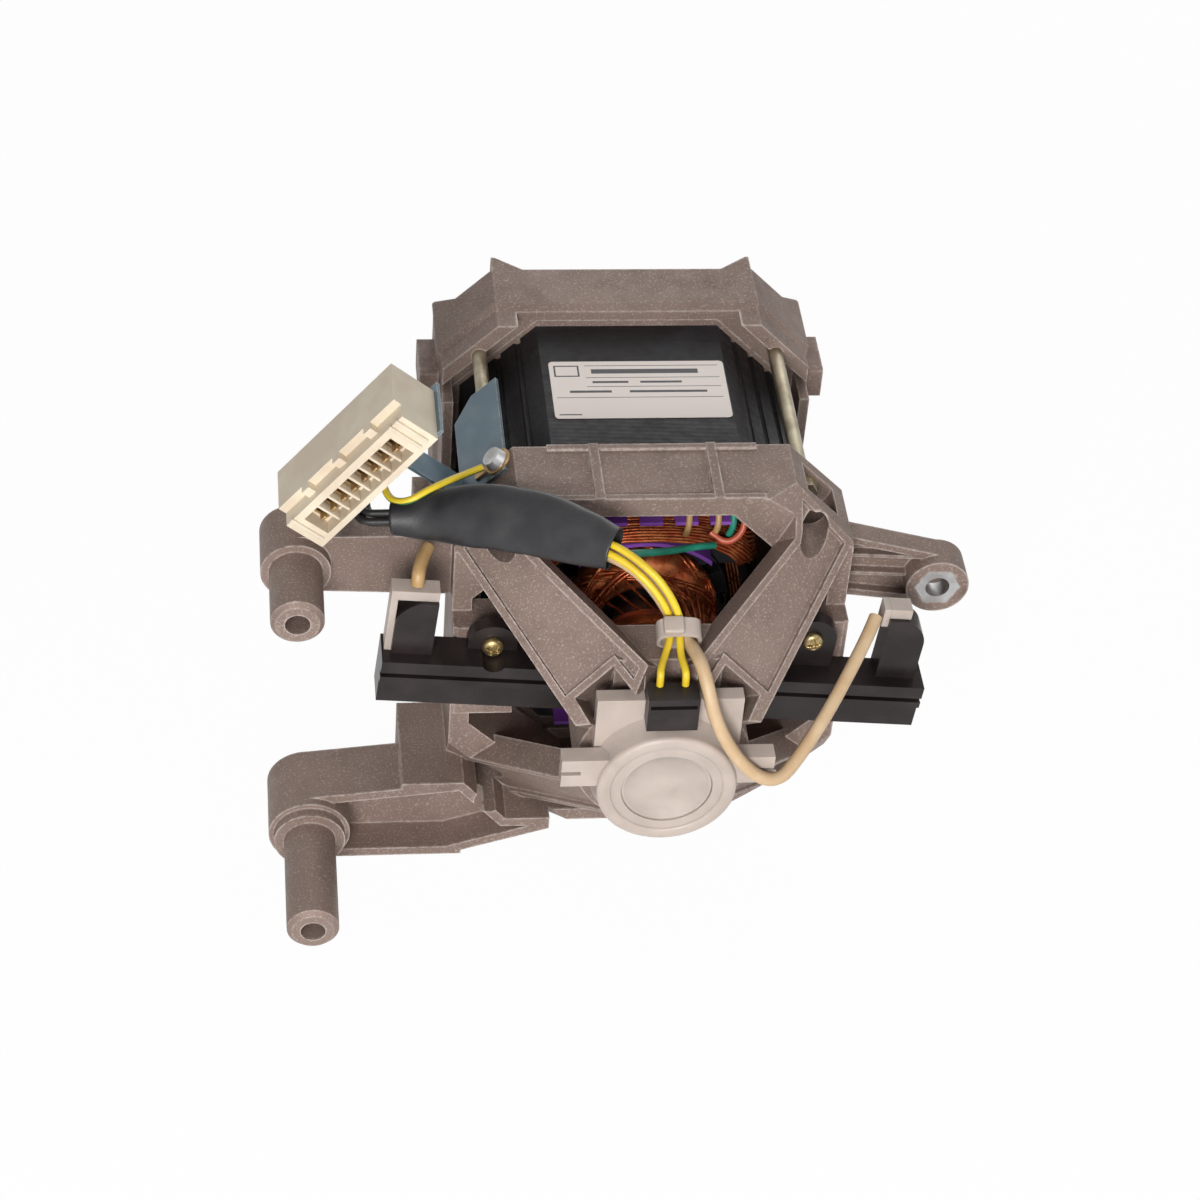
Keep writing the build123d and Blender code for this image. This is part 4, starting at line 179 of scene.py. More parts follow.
def plastic(name, color, shade, rough, subsurface=0.0, specular=0.45):
    m = Shader(name, color, rough, specular=specular)
    m.patches(shade, 70, 3, 0.4, 0.65)
    m.grain(900, 2, 0.00005)
    if subsurface:
        m.bsdf.inputs["Subsurface Weight"].default_value = subsurface
        m.bsdf.inputs["Subsurface Radius"].default_value = (0.004, 0.003, 0.0025)
        m.bsdf.inputs["Subsurface Scale"].default_value = 1.0
    return m.mat


def metal(name, color, shade, rough, metallic, drawn=None):
    """Machined or plated metal; drawn stretches its grain along an axis."""
    m = Shader(name, color, rough, metallic)
    m.patches(shade, 120, 4, 0.42, 0.62)
    m.rough(260, 3, rough, rough + 0.18)
    if drawn:
        m.grain(600, 3, 0.00004, drawn)
    else:
        m.grain(900, 2, 0.00003)
    return m.mat


def laminations(sheet=0.00035):
    """Black varnish over the edges of the sheets; one sheet's thickness is in metres."""
    m = Shader("lamination_black", (0.012, 0.011, 0.012), 0.42, specular=0.22)
    m.patches((0.03, 0.03, 0.036), 45, 4, 0.5, 0.7)
    edge = m.math("PINGPONG", m.axis("Y"), sheet)
    m.bump(m.ramp(edge, 0, sheet), 0.00008, 0.7)
    m.rough(300, 3, 0.34, 0.55)
    return m.mat


def copper(name, color, shade, rough):
    m = Shader(name, color, rough, 0.75)
    m.patches(shade, 260, 3, 0.4, 0.65)
    m.rough(500, 2, rough - 0.08, rough + 0.14)
    m.grain(1600, 2, 0.00004)
    return m.mat


def insulation(name, color, shade, weave=0.0):
    """Plastic round a lead, or a woven sleeving where weave is its depth."""
    m = Shader(name, color, 0.42)
    m.patches(shade, 110, 3, 0.4, 0.68)
    m.grain(2600 if weave else 1100, 2, 0.00005 + weave)
    return m.mat


def earth_insulation():
    """Yellow with a green stripe along it, which lies on the lower side here."""
    m = Shader("earth_insulation", (0.76, 0.55, 0.03), 0.4)
    normal = m.add("ShaderNodeNewGeometry").outputs["Normal"]
    side = m.add("ShaderNodeSeparateXYZ", Vector=normal).outputs["Z"]
    wander = m.ramp(m.noise(60, 1), 0.3, 0.7, -0.35, 0.25)
    m.mix(m.ramp(m.math("ADD", side, wander), 0.02, -0.08), (0.07, 0.20, 0.05))
    m.grain(1000, 2, 0.00004)
    return m.mat


def commutator_bars():
    m = Shader("commutator_copper", (0.56, 0.26, 0.12), 0.3, 0.9)
    m.patches((0.30, 0.13, 0.07), 50, 3, 0.45, 0.6, stretch=(1, 14, 1))
    m.grain(90, 2, 0.00008, (1, 22, 1))
    return m.mat


def sheet_zinc():
    m = Shader("plated_sheet", (0.11, 0.16, 0.19), 0.4, 0.55)
    m.patches((0.17, 0.22, 0.25), 60, 3, 0.4, 0.66)
    # Painted highlight: a pale colour along the sheet's rounded edges
    m.edges(0.0006, (0.5, 0.54, 0.58))
    m.grain(500, 3, 0.00004)
    return m.mat


MATERIALS = {
    "casting": cast_metal("cast_aluminium", (0.218, 0.157, 0.131), (0.300, 0.222, 0.187),
                          (0.125, 0.089, 0.073), (0.48, 0.385, 0.335)),
    "lamination": laminations(),
    "steel": metal("ground_steel", (0.52, 0.52, 0.52), (0.36, 0.35, 0.34), 0.24, 0.95),
    "zinc": metal("yellow_zinc", (0.52, 0.38, 0.14), (0.34, 0.26, 0.14), 0.28, 0.9),
    "rod": metal("bolt_steel", (0.42, 0.37, 0.27), (0.26, 0.22, 0.15), 0.3, 0.9, drawn=(1, 30, 1)),
    "brass": metal("stamped_brass", (0.46, 0.30, 0.14), (0.30, 0.19, 0.10), 0.34, 0.85),
    "copper": copper("enamelled_copper", (0.42, 0.085, 0.028), (0.60, 0.20, 0.07), 0.32),
    "commutator": commutator_bars(),
    "insulator": plastic("purple_insulator", (0.16, 0.045, 0.30), (0.22, 0.07, 0.38), 0.4),
    "black": plastic("black_plastic", (0.013, 0.009, 0.009), (0.026, 0.019, 0.018), 0.34, specular=0.3),
    "nylon": plastic("white_nylon", (0.50, 0.42, 0.37), (0.43, 0.36, 0.315), 0.4, 0.35),
    "connector": plastic("cream_nylon", (0.66, 0.55, 0.42), (0.74, 0.65, 0.50), 0.4, 0.12),
    "carbon": plastic("pressed_carbon", (0.02, 0.02, 0.02), (0.035, 0.034, 0.033), 0.6),
    "magnet": plastic("sintered_magnet", (0.05, 0.05, 0.052), (0.08, 0.078, 0.075), 0.5),
    "sleeve": insulation("shrunk_sleeve", (0.016, 0.015, 0.017), (0.030, 0.028, 0.030)),
    "yellow": insulation("yellow_insulation", (0.78, 0.56, 0.025), (0.66, 0.45, 0.02)),
    "green": insulation("green_insulation", (0.012, 0.20, 0.13), (0.02, 0.27, 0.18)),
    "beige": insulation("beige_sleeving", (0.55, 0.37, 0.21), (0.62, 0.46, 0.28), weave=0.00008),
    "tan": insulation("tan_insulation", (0.42, 0.25, 0.10), (0.52, 0.34, 0.16)),
    "wire_black": insulation("black_insulation", (0.02, 0.018, 0.018), (0.035, 0.032, 0.03)),
    "orange": insulation("orange_insulation", (0.50, 0.10, 0.05), (0.42, 0.07, 0.035)),
    "earth": earth_insulation(),
    "sheet": sheet_zinc(),
}

DRESS = {
    "casting": ("drive_end_shield", "brush_end_shield"),
    "lamination": ("stator_core", "armature_core"),
    "steel": ("earth_screw", "mounting_nut", "rotor_shaft", "drive_pulley",
              "brush_spring_left", "brush_spring_right",
              "drive_bearing_outer_ring", "drive_bearing_inner_ring", "drive_bearing_balls",
              "brush_bearing_outer_ring", "brush_bearing_inner_ring", "brush_bearing_balls"),
    "zinc": ("brush_holder_screws",),
    "rod": ("through_bolts",),
    "brass": ("connector_terminals", "earth_ring_terminal"),
    "copper": ("armature_winding", "tacho_coil", "field_coil_upper", "field_coil_lower"),
    "commutator": ("commutator",),
    "insulator": ("coil_insulator_upper", "coil_insulator_lower"),
    "black": ("brush_holder_left", "brush_holder_right", "tacho_plug"),
    "nylon": ("tacho_cap", "brush_terminal_boot_left", "brush_terminal_boot_right", "cable_tie"),
    "connector": ("connector_housing",),
    "carbon": ("carbon_brush_left", "carbon_brush_right"),
    "magnet": ("tacho_magnet",),
    "sleeve": ("cable_sleeve",),
    "yellow": ("yellow_leads", "harness_leads"),
    "green": ("green_lead",),
    "beige": ("brush_lead_right",),
    "tan": ("brush_lead_left",),
    "earth": ("earth_wire",),
    "sheet": ("connector_bracket",),
}

LABEL_WHITE, LABEL_INK = (0.88, 0.78, 0.72), (0.02, 0.02, 0.025)


def label_material():
    """White film with ruled lines, an empty frame and plain bars, all generic."""
    m = Shader("label_film", LABEL_WHITE, 0.36)
    x, y = m.axis("X"), m.axis("Y")
    low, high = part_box("rating_label")
    wide, tall = (high[0] - low[0]) / MM, (high[1] - low[1]) / MM

    def within(value, a, b):
        return m.math("MULTIPLY", m.math("GREATER_THAN", value, a), m.math("LESS_THAN", value, b))

    def block(place, color=LABEL_INK):
        x0, x1, y0, y1 = (length * MM for length in place)
        m.mix(m.math("MULTIPLY", within(x, low[0] + x0, low[0] + x1),
                     within(y, high[1] - y1, high[1] - y0)), color)

    # Left, right, top and bottom, in millimetres from the upper left corner
    block((1.5, 10.0, 2.2, 8.2))
    block((2.1, 9.4, 2.8, 7.6), LABEL_WHITE)
    rules = ((12, wide - 2, 2.2, 2.5), (12, wide - 2, 8.6, 8.9), (12, wide - 2, 13.4, 13.7),
             (1.5, wide - 2, 19.2, 19.5))
    bars = ((14, 50, 4.2, 6.6), (14, 26, 10.6, 11.7), (30, 44, 10.6, 11.7), (6, 20, 15.6, 16.8),
            (26, 52, 15.6, 16.8), (1.5, 9, tall - 2.0, tall - 1.4))
    for place in rules + bars:
        block(place)
    return m.mat


def dress(node, material):
    NODES[node].data.materials.clear()
    NODES[node].data.materials.append(material)


for key, names in DRESS.items():
    for name in names:
        dress(name, MATERIALS[key])
dress("rating_label", label_material())


# Makers of the pieces that stand in for a solid or sit on one
def placed(name, data, material, body, smooth=False):
    """Object in the scene, with its material, riding on its body."""
    data.materials.append(material)
    for face in data.polygons if smooth else ():
        face.use_smooth = True
    obj = bpy.data.objects.new(name, data)
    bpy.context.collection.objects.link(obj)
    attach(obj, body)
    return obj


def tube(name, routes, diameter, material, body="frame", smooth=12):
    """Round wires along smooth splines; every route is a list of points in millimetres."""
    thick, order = 2.0, 3
    curve = bpy.data.curves.new(name, "CURVE")
    curve.dimensions = "3D"
    curve.bevel_depth = diameter / 2 * MM
    curve.bevel_resolution = 3 if diameter > thick else 1
    curve.resolution_u = smooth
    curve.use_fill_caps = True
    for route in routes:
        spline = curve.splines.new("NURBS")
        spline.points.add(len(route) - 1)
        for point, place in zip(spline.points, route):
            point.co = (*(c * MM for c in place), 1)
        spline.order_u = order
        spline.use_endpoint_u = True
    return placed(name, curve, material, body)


def solid(name, verts, faces, material, body="frame", smooth=True):
    mesh = bpy.data.meshes.new(name)
    mesh.from_pydata([tuple(v) for v in verts], [], faces)
    return placed(name, mesh, material, body, smooth)


def angles(count):
    return [FULL_TURN * j / count for j in range(count)]


def band_faces(rows, count, closed=False):
    """Faces between rings of points; closed joins the last ring to the first."""
    faces = []
    for i in range(rows if closed else rows - 1):
        here, there = i * count, (i + 1) % rows * count
        faces += [(here + j, here + (j + 1) % count, there + (j + 1) % count, there + j)
                  for j in range(count)]
    return faces


def frame_of(centre, direction, across=(0, 0, 1)):
    """Matrix, in metres, whose z axis is the direction."""
    z = Vector(direction).normalized()
    x = (Vector(across) - z * z.dot(Vector(across))).normalized()
    y = z.cross(x)
    place = Vector(centre) * MM
    return Matrix(((x.x, y.x, z.x, place.x), (x.y, y.y, z.y, place.y),
                   (x.z, y.z, z.z, place.z), (0, 0, 0, 1)))


def turned(name, profile, matrix, material, count=96, relief=None):
    """Profile of (radius, height) turned into a closed solid; relief(x, y) lowers its top."""
    verts = []
    for radius, height in profile:
        for angle in angles(count):
            x, y = radius * math.cos(angle), radius * math.sin(angle)
            z = height - (relief(x, y) if relief else 0)
            verts.append(matrix @ (Vector((x, y, z)) * MM))
    faces = band_faces(len(profile), count)
    faces += [tuple(range(count))[::-1], tuple(range(len(verts) - count, len(verts)))]
    return solid(name, verts, faces, material)


def ring(name, profile, matrix, material, count=112):
    """Closed profile of (radius, height) turned into a ring."""
    verts = [matrix @ (Vector((radius * math.cos(angle), radius * math.sin(angle), height)) * MM)
             for radius, height in profile for angle in angles(count)]
    return solid(name, verts, band_faces(len(profile), count, closed=True), material)


def rounded_block(name, size, matrix, material, radius):
    """Box with rounded edges, centred on the matrix."""
    mesh = bpy.data.meshes.new(name)
    form = bmesh.new()
    bmesh.ops.create_cube(form, size=1.0)
    bmesh.ops.scale(form, vec=[length * MM for length in size], verts=form.verts)
    bmesh.ops.bevel(form, geom=form.edges[:], offset=radius * MM, segments=3, affect="EDGES", profile=0.5)
    bmesh.ops.transform(form, matrix=matrix, verts=form.verts)
    form.to_mesh(mesh)
    form.free()
    return placed(name, mesh, material, "frame", smooth=True)


# Sleeve: a flattened tube with soft folds, open at both ends
# Each row is the centre and the half width and half height, from the connector on
SLEEVE = ((-84, -140, 51, 5.4, 4.4), (-72, -142.5, 53.5, 7.8, 4.2), (-60, -147, 57.5, 10.0, 4.5),
          (-48, -152.7, 60.8, 10.4, 4.6), (-36, -159.6, 63.2, 10.0, 4.6), (-25, -167.2, 64.6, 8.6, 4.6),
          (-17, -172.5, 65, 6.8, 4.7))
SLEEVE_UP = Vector((-0.47, -0.58, 0.66)).normalized()
SLEEVE_WALL, SLEEVE_SIDES, SLEEVE_STEPS = 0.6, 48, 10
SLEEVE_LAST = len(SLEEVE) - 1
FOLD = {"lengthwise": 0.16, "crosswise": 0.10, "most": 0.1, "at_mouth": 0.3}


def smooth_row(rows, t):
    """Catmull-Rom through the rows, t from 0 to the last row."""
    i = min(int(t), len(rows) - 2)
    u = t - i
    a, b, c, d = (rows[min(max(k, 0), len(rows) - 1)] for k in (i - 1, i, i + 1, i + 2))
    return [0.5 * (2 * q + (r - p) * u + (2 * p - 5 * q + 4 * r - s) * u * u
                   + (3 * q - p - 3 * r + s) * u ** 3) for p, q, r, s in zip(a, b, c, d)]


def sleeve_frame(t):
    """Centre, axes across and up, half width and half height of the sleeve at t."""
    near = 0.05
    here = smooth_row(SLEEVE, t)
    before = smooth_row(SLEEVE, max(t - near, 0))
    after = smooth_row(SLEEVE, min(t + near, SLEEVE_LAST))
    direction = (Vector(after[:3]) - Vector(before[:3])).normalized()
    across = direction.cross(SLEEVE_UP).normalized()
    return Vector(here[:3]), across, across.cross(direction) * -1, here[3], here[4]


def sleeve_fold(t, angle):
    """How far a soft fold stands out, less so near both mouths."""
    fold = FOLD["lengthwise"] * math.sin(3 * angle + 1.7 * t) * math.sin(2.9 * t + 0.6)
    fold += FOLD["crosswise"] * math.sin(7 * t + 2 * math.cos(angle)) * math.cos(2 * angle + t)
    return min(fold, FOLD["most"]) * min(1, 3 * min(t, SLEEVE_LAST - t) + FOLD["at_mouth"])


def in_mouth(end, a, b, out):
    """Place of a lead near the sleeve's mouth at the start (0) or at the end (-1)."""
    spots = [Vector(row[:3]) for row in SLEEVE]
    k = SLEEVE_LAST if end else 0
    direction = (spots[min(k + 1, SLEEVE_LAST)] - spots[max(k - 1, 0)]).normalized()
    x = direction.cross(SLEEVE_UP).normalized()
    y = direction.cross(x)
    return tuple(spots[k] + x * a + y * b + direction * (out if end else -out))


def make_sleeve():
    """Outer and inner layer, joined at both mouths."""
    rows, flatter_below = SLEEVE_LAST * SLEEVE_STEPS, 0.96
    verts, faces = [], []
    for inner in (0, SLEEVE_WALL):
        for i in range(rows + 1):
            t = i / SLEEVE_STEPS
            centre, across, lift, wide, high = sleeve_frame(t)
            for angle in angles(SLEEVE_SIDES):
                fold = sleeve_fold(t, angle)
                flat = 1.0 if math.sin(angle) > 0 else flatter_below
                x = (wide + fold - inner) * math.cos(angle)
                y = (high * flat + fold - inner) * math.sin(angle)
                verts.append((centre + across * x + lift * y) * MM)
    layer = (rows + 1) * SLEEVE_SIDES
    for a, b, c, d in band_faces(rows + 1, SLEEVE_SIDES):
        faces += [(a, b, c, d), (layer + d, layer + c, layer + b, layer + a)]
    last = rows * SLEEVE_SIDES
    for j in range(SLEEVE_SIDES):
        a, b = j, (j + 1) % SLEEVE_SIDES
        faces += [(b, a, layer + a, layer + b),
                  (last + a, last + b, layer + last + b, layer + last + a)]
    sleeve = solid("shrunk_cable_sleeve", verts, faces, MATERIALS["sleeve"])
    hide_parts("cable_sleeve")


make_sleeve()

# Connector block: it leans over in the plane across the motor
SLOPE = math.radians(51)
ALONG_BLOCK = (math.cos(SLOPE), 0, math.sin(SLOPE))
BLOCK = {"x": -106.2, "z": 46.0, "back": -124.0, "face": -148.0, "lift": 7.0}


def block_place(along, lift, y):
    """Place in the block, from its lower corner: along it, up from its base, and y."""
    x = BLOCK["x"] + along * math.cos(SLOPE) - lift * math.sin(SLOPE)
    z = BLOCK["z"] + along * math.sin(SLOPE) + lift * math.cos(SLOPE)
    return (x, y, z)


def block_back(along, gap):
    """Place behind the block, in line with one of its terminals."""
    return block_place(along, BLOCK["lift"], BLOCK["back"] + gap)


# Leads: their routes, with the places where they enter the sleeve or the block
INSIDE = -3.6
YELLOW = [
    [in_mouth(-1, 1.8, -1.2, INSIDE), in_mouth(-1, 1.8, -1.2, 2.5), (-8.6, -181.2, 61), (-3.4, -184.6, 55.8),
     (-0.2, -186.6, 50.2), (0.4, -187.4, 46.4), (0, -191.4, 43.6), (-2.2, -196.8, 41.6),
     (-3.8, -201.6, 41.2), (-4, -204, 40), (-4, -204, 36.5)],
    [in_mouth(-1, -1.2, -1.2, INSIDE), in_mouth(-1, -1.2, -1.2, 2.5), (-5.6, -181.8, 63.2),
     (-0.6, -185.6, 57.8), (2.6, -187.4, 51.2), (3.4, -188, 46.6), (3, -191.6, 43.8), (3, -196.8, 41.6),
     (3.8, -201.6, 41.2), (4, -204, 40), (4, -204, 36.5)]]
BEIGE = [
    [in_mouth(-1, 2.2, 1.6, INSIDE), in_mouth(-1, 2.2, 1.6, 2.5), (-8.4, -178.4, 59.4), (-3.2, -181.8, 54),
     (0.2, -184, 48.8), (2.6, -185.6, 43.8), (6.2, -190, 41.4), (7.6, -195.2, 42), (8.9, -201.5, 42.6),
     (10.7, -207, 37.6), (12.4, -210.8, 31), (15.5, -213, 23.5), (20.8, -214.6, 14.5), (27.6, -215, 6.6),
     (34, -214, 3.6), (39, -210.6, 4.6), (51, -197, 13.6), (61, -182.5, 21.4), (68, -171.5, 27),
     (70.6, -166.5, 29.4)]]
GREEN = [
    [in_mouth(-1, 0.9, 1.7, INSIDE), in_mouth(-1, 0.9, 1.7, 2.0), (-7.5, -170, 61), (2, -157.5, 50.5),
     (10, -149.5, 44.8), (15.5, -146, 42.6), (20, -143, 40.2)]]
TAN = [[(-73, -149.6, 46.8), (-74.6, -153.4, 46.6), (-76, -158.4, 46.2), (-76.6, -161.6, 45),
        (-76.8, -162, 42.2)]]
# Along the block, the bends between it and the sleeve, and the spot in the sleeve's mouth
HARNESS = [
    [block_back(along, 0), block_back(along, 4.5), *bends,
     in_mouth(0, *spot, 2.5), in_mouth(0, *spot, INSIDE)]
    for along, bends, spot in (
        (7, ((-103.2, -112.5, 51.8), (-99.2, -113.8, 48.8), (-93.6, -127, 49.2), (-93.6, -137.9, 47.3)),
         (1.4, 1.4)),
        (13, ((-99.8, -112.5, 57), (-97.2, -113.8, 53), (-95.6, -127, 51.2), (-95.4, -139.7, 49.3)),
         (1.4, -1.4)),
        (19, ((-96.3, -112.5, 61.4), (-94, -113.8, 57), (-93.6, -127, 53.2), (-93.6, -137.9, 51.3)),
         (-1.4, -1.4)),
        (25, ((-92.3, -112.5, 65.8), (-89.8, -113.8, 60.6), (-91.6, -127, 51.2), (-91.8, -136.1, 49.3)),
         (-1.4, 1.4)))]
EARTH = [
    [(-54.5, -125.5, 59.4), (-58.9, -127, 58.4), (-65.5, -133, 60.4), (-72.5, -138, 60.8),
     (-79.5, -140.6, 57.6), (-85.4, -135.4, 54.8), (-87, -124, 57.2), block_back(32, 5.5), block_back(32, 0)]]
LEAD, SLEEVED_LEAD, COIL_LEAD = 2.4, 4.4, 2.2
for name, routes, diameter, node, key in (
        ("yellow_sensor_leads", YELLOW, LEAD, "yellow_leads", "yellow"),
        ("beige_brush_lead", BEIGE, SLEEVED_LEAD, "brush_lead_right", "beige"),
        ("green_coil_lead", GREEN, LEAD, "green_lead", "green"),
        ("tan_brush_lead", TAN, SLEEVED_LEAD, "brush_lead_left", "tan"),
        ("block_leads", HARNESS, LEAD, "harness_leads", "wire_black"),
        ("striped_earth_lead", EARTH, LEAD, "earth_wire", "earth")):
    piece = tube(name, routes, diameter, MATERIALS[key])
    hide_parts(node)

# Brush holder screws, with their cross recess; its sizes are shares of the head's
SCREW = {"head": 3.5, "height": 2.6, "shank": 1.9, "turns": (0.5, 1.4)}
RECESS = {"reach": 0.66, "width": 0.2, "depth": 0.5, "flank": 0.7, "end": 0.8}


def smooth_step(value, low, high):
    t = min(max((value - low) / (high - low), 0.0), 1.0)
    return t * t * (3 - 2 * t)


def cross_recess(x, y):
    """Depth of the cross recess at a place on the screw head."""
    reach, width = RECESS["reach"] * SCREW["head"], RECESS["width"] * SCREW["head"]

    def arm(across, along):
        return ((1 - smooth_step(abs(across), width * RECESS["flank"], width))
                * (1 - smooth_step(abs(along), reach * RECESS["end"], reach)))

    return RECESS["depth"] * SCREW["height"] * max(arm(x, y), arm(y, x))


def holder_screw(name, under_head, length, turn):
    """Screw with a pan head, a cross recess and its shank; turn is that of the recess."""
    radius, height, shank = SCREW["head"], SCREW["height"], SCREW["shank"]
    steps, side, dome = 22, 0.35, 2.6
    profile = [(shank * 0.5, -length), (shank, -length + shank), (shank, -0.01), (radius, 0),
               (radius, height * side)]
    for i in range(1, steps):
        share = 1 - i / steps
        profile.append((radius * share, height * (side + (1 - side) * math.sqrt(1 - share ** dome))))
    matrix = frame_of(under_head, FORWARD, (math.sin(turn), 0, math.cos(turn)))
    piece = turned(name, profile, matrix, MATERIALS["zinc"], count=72, relief=cross_recess)
    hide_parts("brush_holder_screws")


low, high = (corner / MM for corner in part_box("brush_holder_screws"))
for word, x, turn in zip(("left", "right"), (low.x + SCREW["head"], high.x - SCREW["head"]), SCREW["turns"]):
    seat = low.y + SCREW["height"]
    holder_screw(f"holder_screw_{word}", (x, seat, (low.z + high.z) / 2), high.y - seat, turn)

# Cap of the speed sensor: beaded rim and stepped disc, with heights above the cap's face
CAP = {"radius": 22.0, "disc": 14.5}
RIM = ((-4.4, -0.6), (-4.2, 0.35), (-3.6, 0.7), (-1.4, 0.75), (-0.5, 0.5), (0.1, -0.1), (0.25, -1.0),
       (0.3, -4.0), (2.0, -7.5), (2.3, -9.5), (2.3, -12.4), (0.1, -12.4), (-1.0, -2.0))
STEP = ((-0.1, -1.8), (-0.2, -0.5), (-0.9, -0.45), (-1.2, -0.95))
BUTTON = [(6.0, -0.8), (2.6, -0.75), (2.0, -0.35), (0.3, -0.3)]
cap_front = frame_of((0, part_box("tacho_cap")[0][1] / MM, 0), FORWARD)
rim = [(CAP["radius"] + out, height) for out, height in RIM]
disc = [(CAP["disc"] + out, height) for out, height in STEP] + BUTTON
ring("sensor_cap_rim", rim, cap_front, MATERIALS["nylon"])
turned("sensor_cap_disc", disc, cap_front, MATERIALS["nylon"])

# Tie: a thick nylon loop with its head
TIE_CENTRE, TIE_UP = Vector((3.0, -188.4, 43.9)), Vector((0, -0.41, 0.91)).normalized()
TIE_ALONG = Vector((0, -0.91, -0.41)).normalized()
TIE_OUTER, TIE_WALL, TIE_HALF_WIDE, TIE_SQUARE = (7.0, 5.2), 1.1, 3.1, 0.7
TIE_HEAD, TIE_HEAD_SHIFT, TIE_HEAD_LIFT, TIE_HEAD_ROUND = (6.4, 5.6, 2.8), -2.2, 0.9, 0.7


def make_tie():
    """Loop of four rings of points, with rounded corners, and the head on top of it."""
    half, verts = TIE_HALF_WIDE, []
    corners = ((0.0, -half), (0.0, half), (TIE_WALL, half), (TIE_WALL, -half))
    count = 72
    for shrink, edge in corners:
        for angle in angles(count):
            c, d = math.cos(angle), math.sin(angle)
            x = (TIE_OUTER[0] - shrink) * math.copysign(abs(c) ** TIE_SQUARE, c)
            y = (TIE_OUTER[1] - shrink) * math.copysign(abs(d) ** TIE_SQUARE, d)
            verts.append((TIE_CENTRE + Vector((1, 0, 0)) * x + TIE_UP * y + TIE_ALONG * edge) * MM)
    faces = band_faces(len(corners), count, closed=True)
    loop = solid("cable_tie_loop", verts, faces, MATERIALS["nylon"], smooth=False)
    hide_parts("cable_tie")
    top = TIE_CENTRE + TIE_UP * (TIE_OUTER[1] + TIE_HEAD_LIFT) + Vector((TIE_HEAD_SHIFT, 0, 0))
    head = frame_of(top, TIE_UP, (1, 0, 0))
    rounded_block("cable_tie_head", TIE_HEAD, head, MATERIALS["nylon"], TIE_HEAD_ROUND)


make_tie()

# Ways of the connector block: walls between the terminals and a tongue in each way
WAY = {"pitch": 5.0, "count": 8, "middle": 56.0 * 0.47}
WALL, WALL_DEEP, WALL_ROUND = (0.9, 9.4, 4.6), 3.6, 0.25
TONGUE, TONGUE_DEEP, TONGUE_DROP, TONGUE_ROUND = (2.3, 1.0, 5.4), 3.4, 0.3, 0.3
RIB, RIB_PROUD, RIB_LIFT, RIB_ROUND, RIBS = (1.2, 13.0, 1.4), 0.2, 8.6, 0.4, (3.0, 50.5, 53.5)


def block_piece(name, along, lift, deep, size, radius, key):
    """Small rounded block in or on the connector's face."""
    place = frame_of(block_place(along, lift, BLOCK["face"] + deep), FORWARD, ALONG_BLOCK)
    rounded_block(name, size, place, MATERIALS[key], radius)


first = WAY["middle"] - WAY["pitch"] * WAY["count"] / 2
for index in range(WAY["count"] - 1):
    block_piece(f"way_wall_{index + 1}", first + WAY["pitch"] * (index + 1), BLOCK["lift"], WALL_DEEP,
                WALL, WALL_ROUND, "connector")
for index in range(WAY["count"]):
    block_piece(f"way_tongue_{index + 1}", first + WAY["pitch"] * (index + 0.5),
                BLOCK["lift"] - TONGUE_DROP, TONGUE_DEEP, TONGUE, TONGUE_ROUND, "brass")
for index, along in enumerate(RIBS):
    block_piece(f"block_face_rib_{index + 1}", along, RIB_LIFT, -RIB_PROUD, RIB, RIB_ROUND, "connector")

# Leads from the field coils up to the insulator's comb
COIL_LEADS = {
    "tan": [[(12.2, -134.5, 50.5), (12.4, -136.2, 46), (12, -137.6, 42.5), (11.5, -136.5, 39.5)],
            [(21.8, -134, 50), (22, -136, 46), (21.6, -137.6, 42.6), (20.8, -136.6, 39.6)]],
    "green": [[(26.6, -133.4, 50), (26.9, -135.6, 46.2), (26.8, -137, 42.2), (25.6, -136.5, 39)]],
    "orange": [[(30.4, -132.6, 50), (30.6, -135.4, 46), (30, -138, 41.6), (26.4, -139.6, 38.6),
                (22.5, -139, 38.6), (19.5, -137, 40.6)]],
}
for key, routes in COIL_LEADS.items():
    tube(f"coil_lead_{key}", routes, COIL_LEAD, MATERIALS[key])

# Armature winding: bundles from slot to slot at both ends of the stack
random.seed(7)
SLOTS, THROW = 12, 5
STACK = {"drive": -47.0, "brush": -124.0}
WIRE, FAN = 1.15, 0.34  # wire diameter, and how far a bundle fans out, in radians
WINDING = {"outer": 27.2, "seat": 23.5, "sink": 7.5, "margin": 0.8, "flare": 2.0, "crown": 5.6,
           "drive_head": 8.3, "brush_head": 15.6}
LEVELS, LOWEST = 4, 0.35  # the coils lie over each other in levels of the head's height
LOOSE = {"depth": (-1.3, 1.3), "rise": (-0.5, 0.2), "wave": (-0.35, 0.35), "spiral": (-0.10, 0.10),
         "layer": (-0.08, 0.08)}
ALONG_COIL = (0.0, 0.18, 0.38, 0.5, 0.62, 0.82, 1.0)


def around_axis(radius, angle, y):
    return (radius * math.sin(angle), y, radius * math.cos(angle))


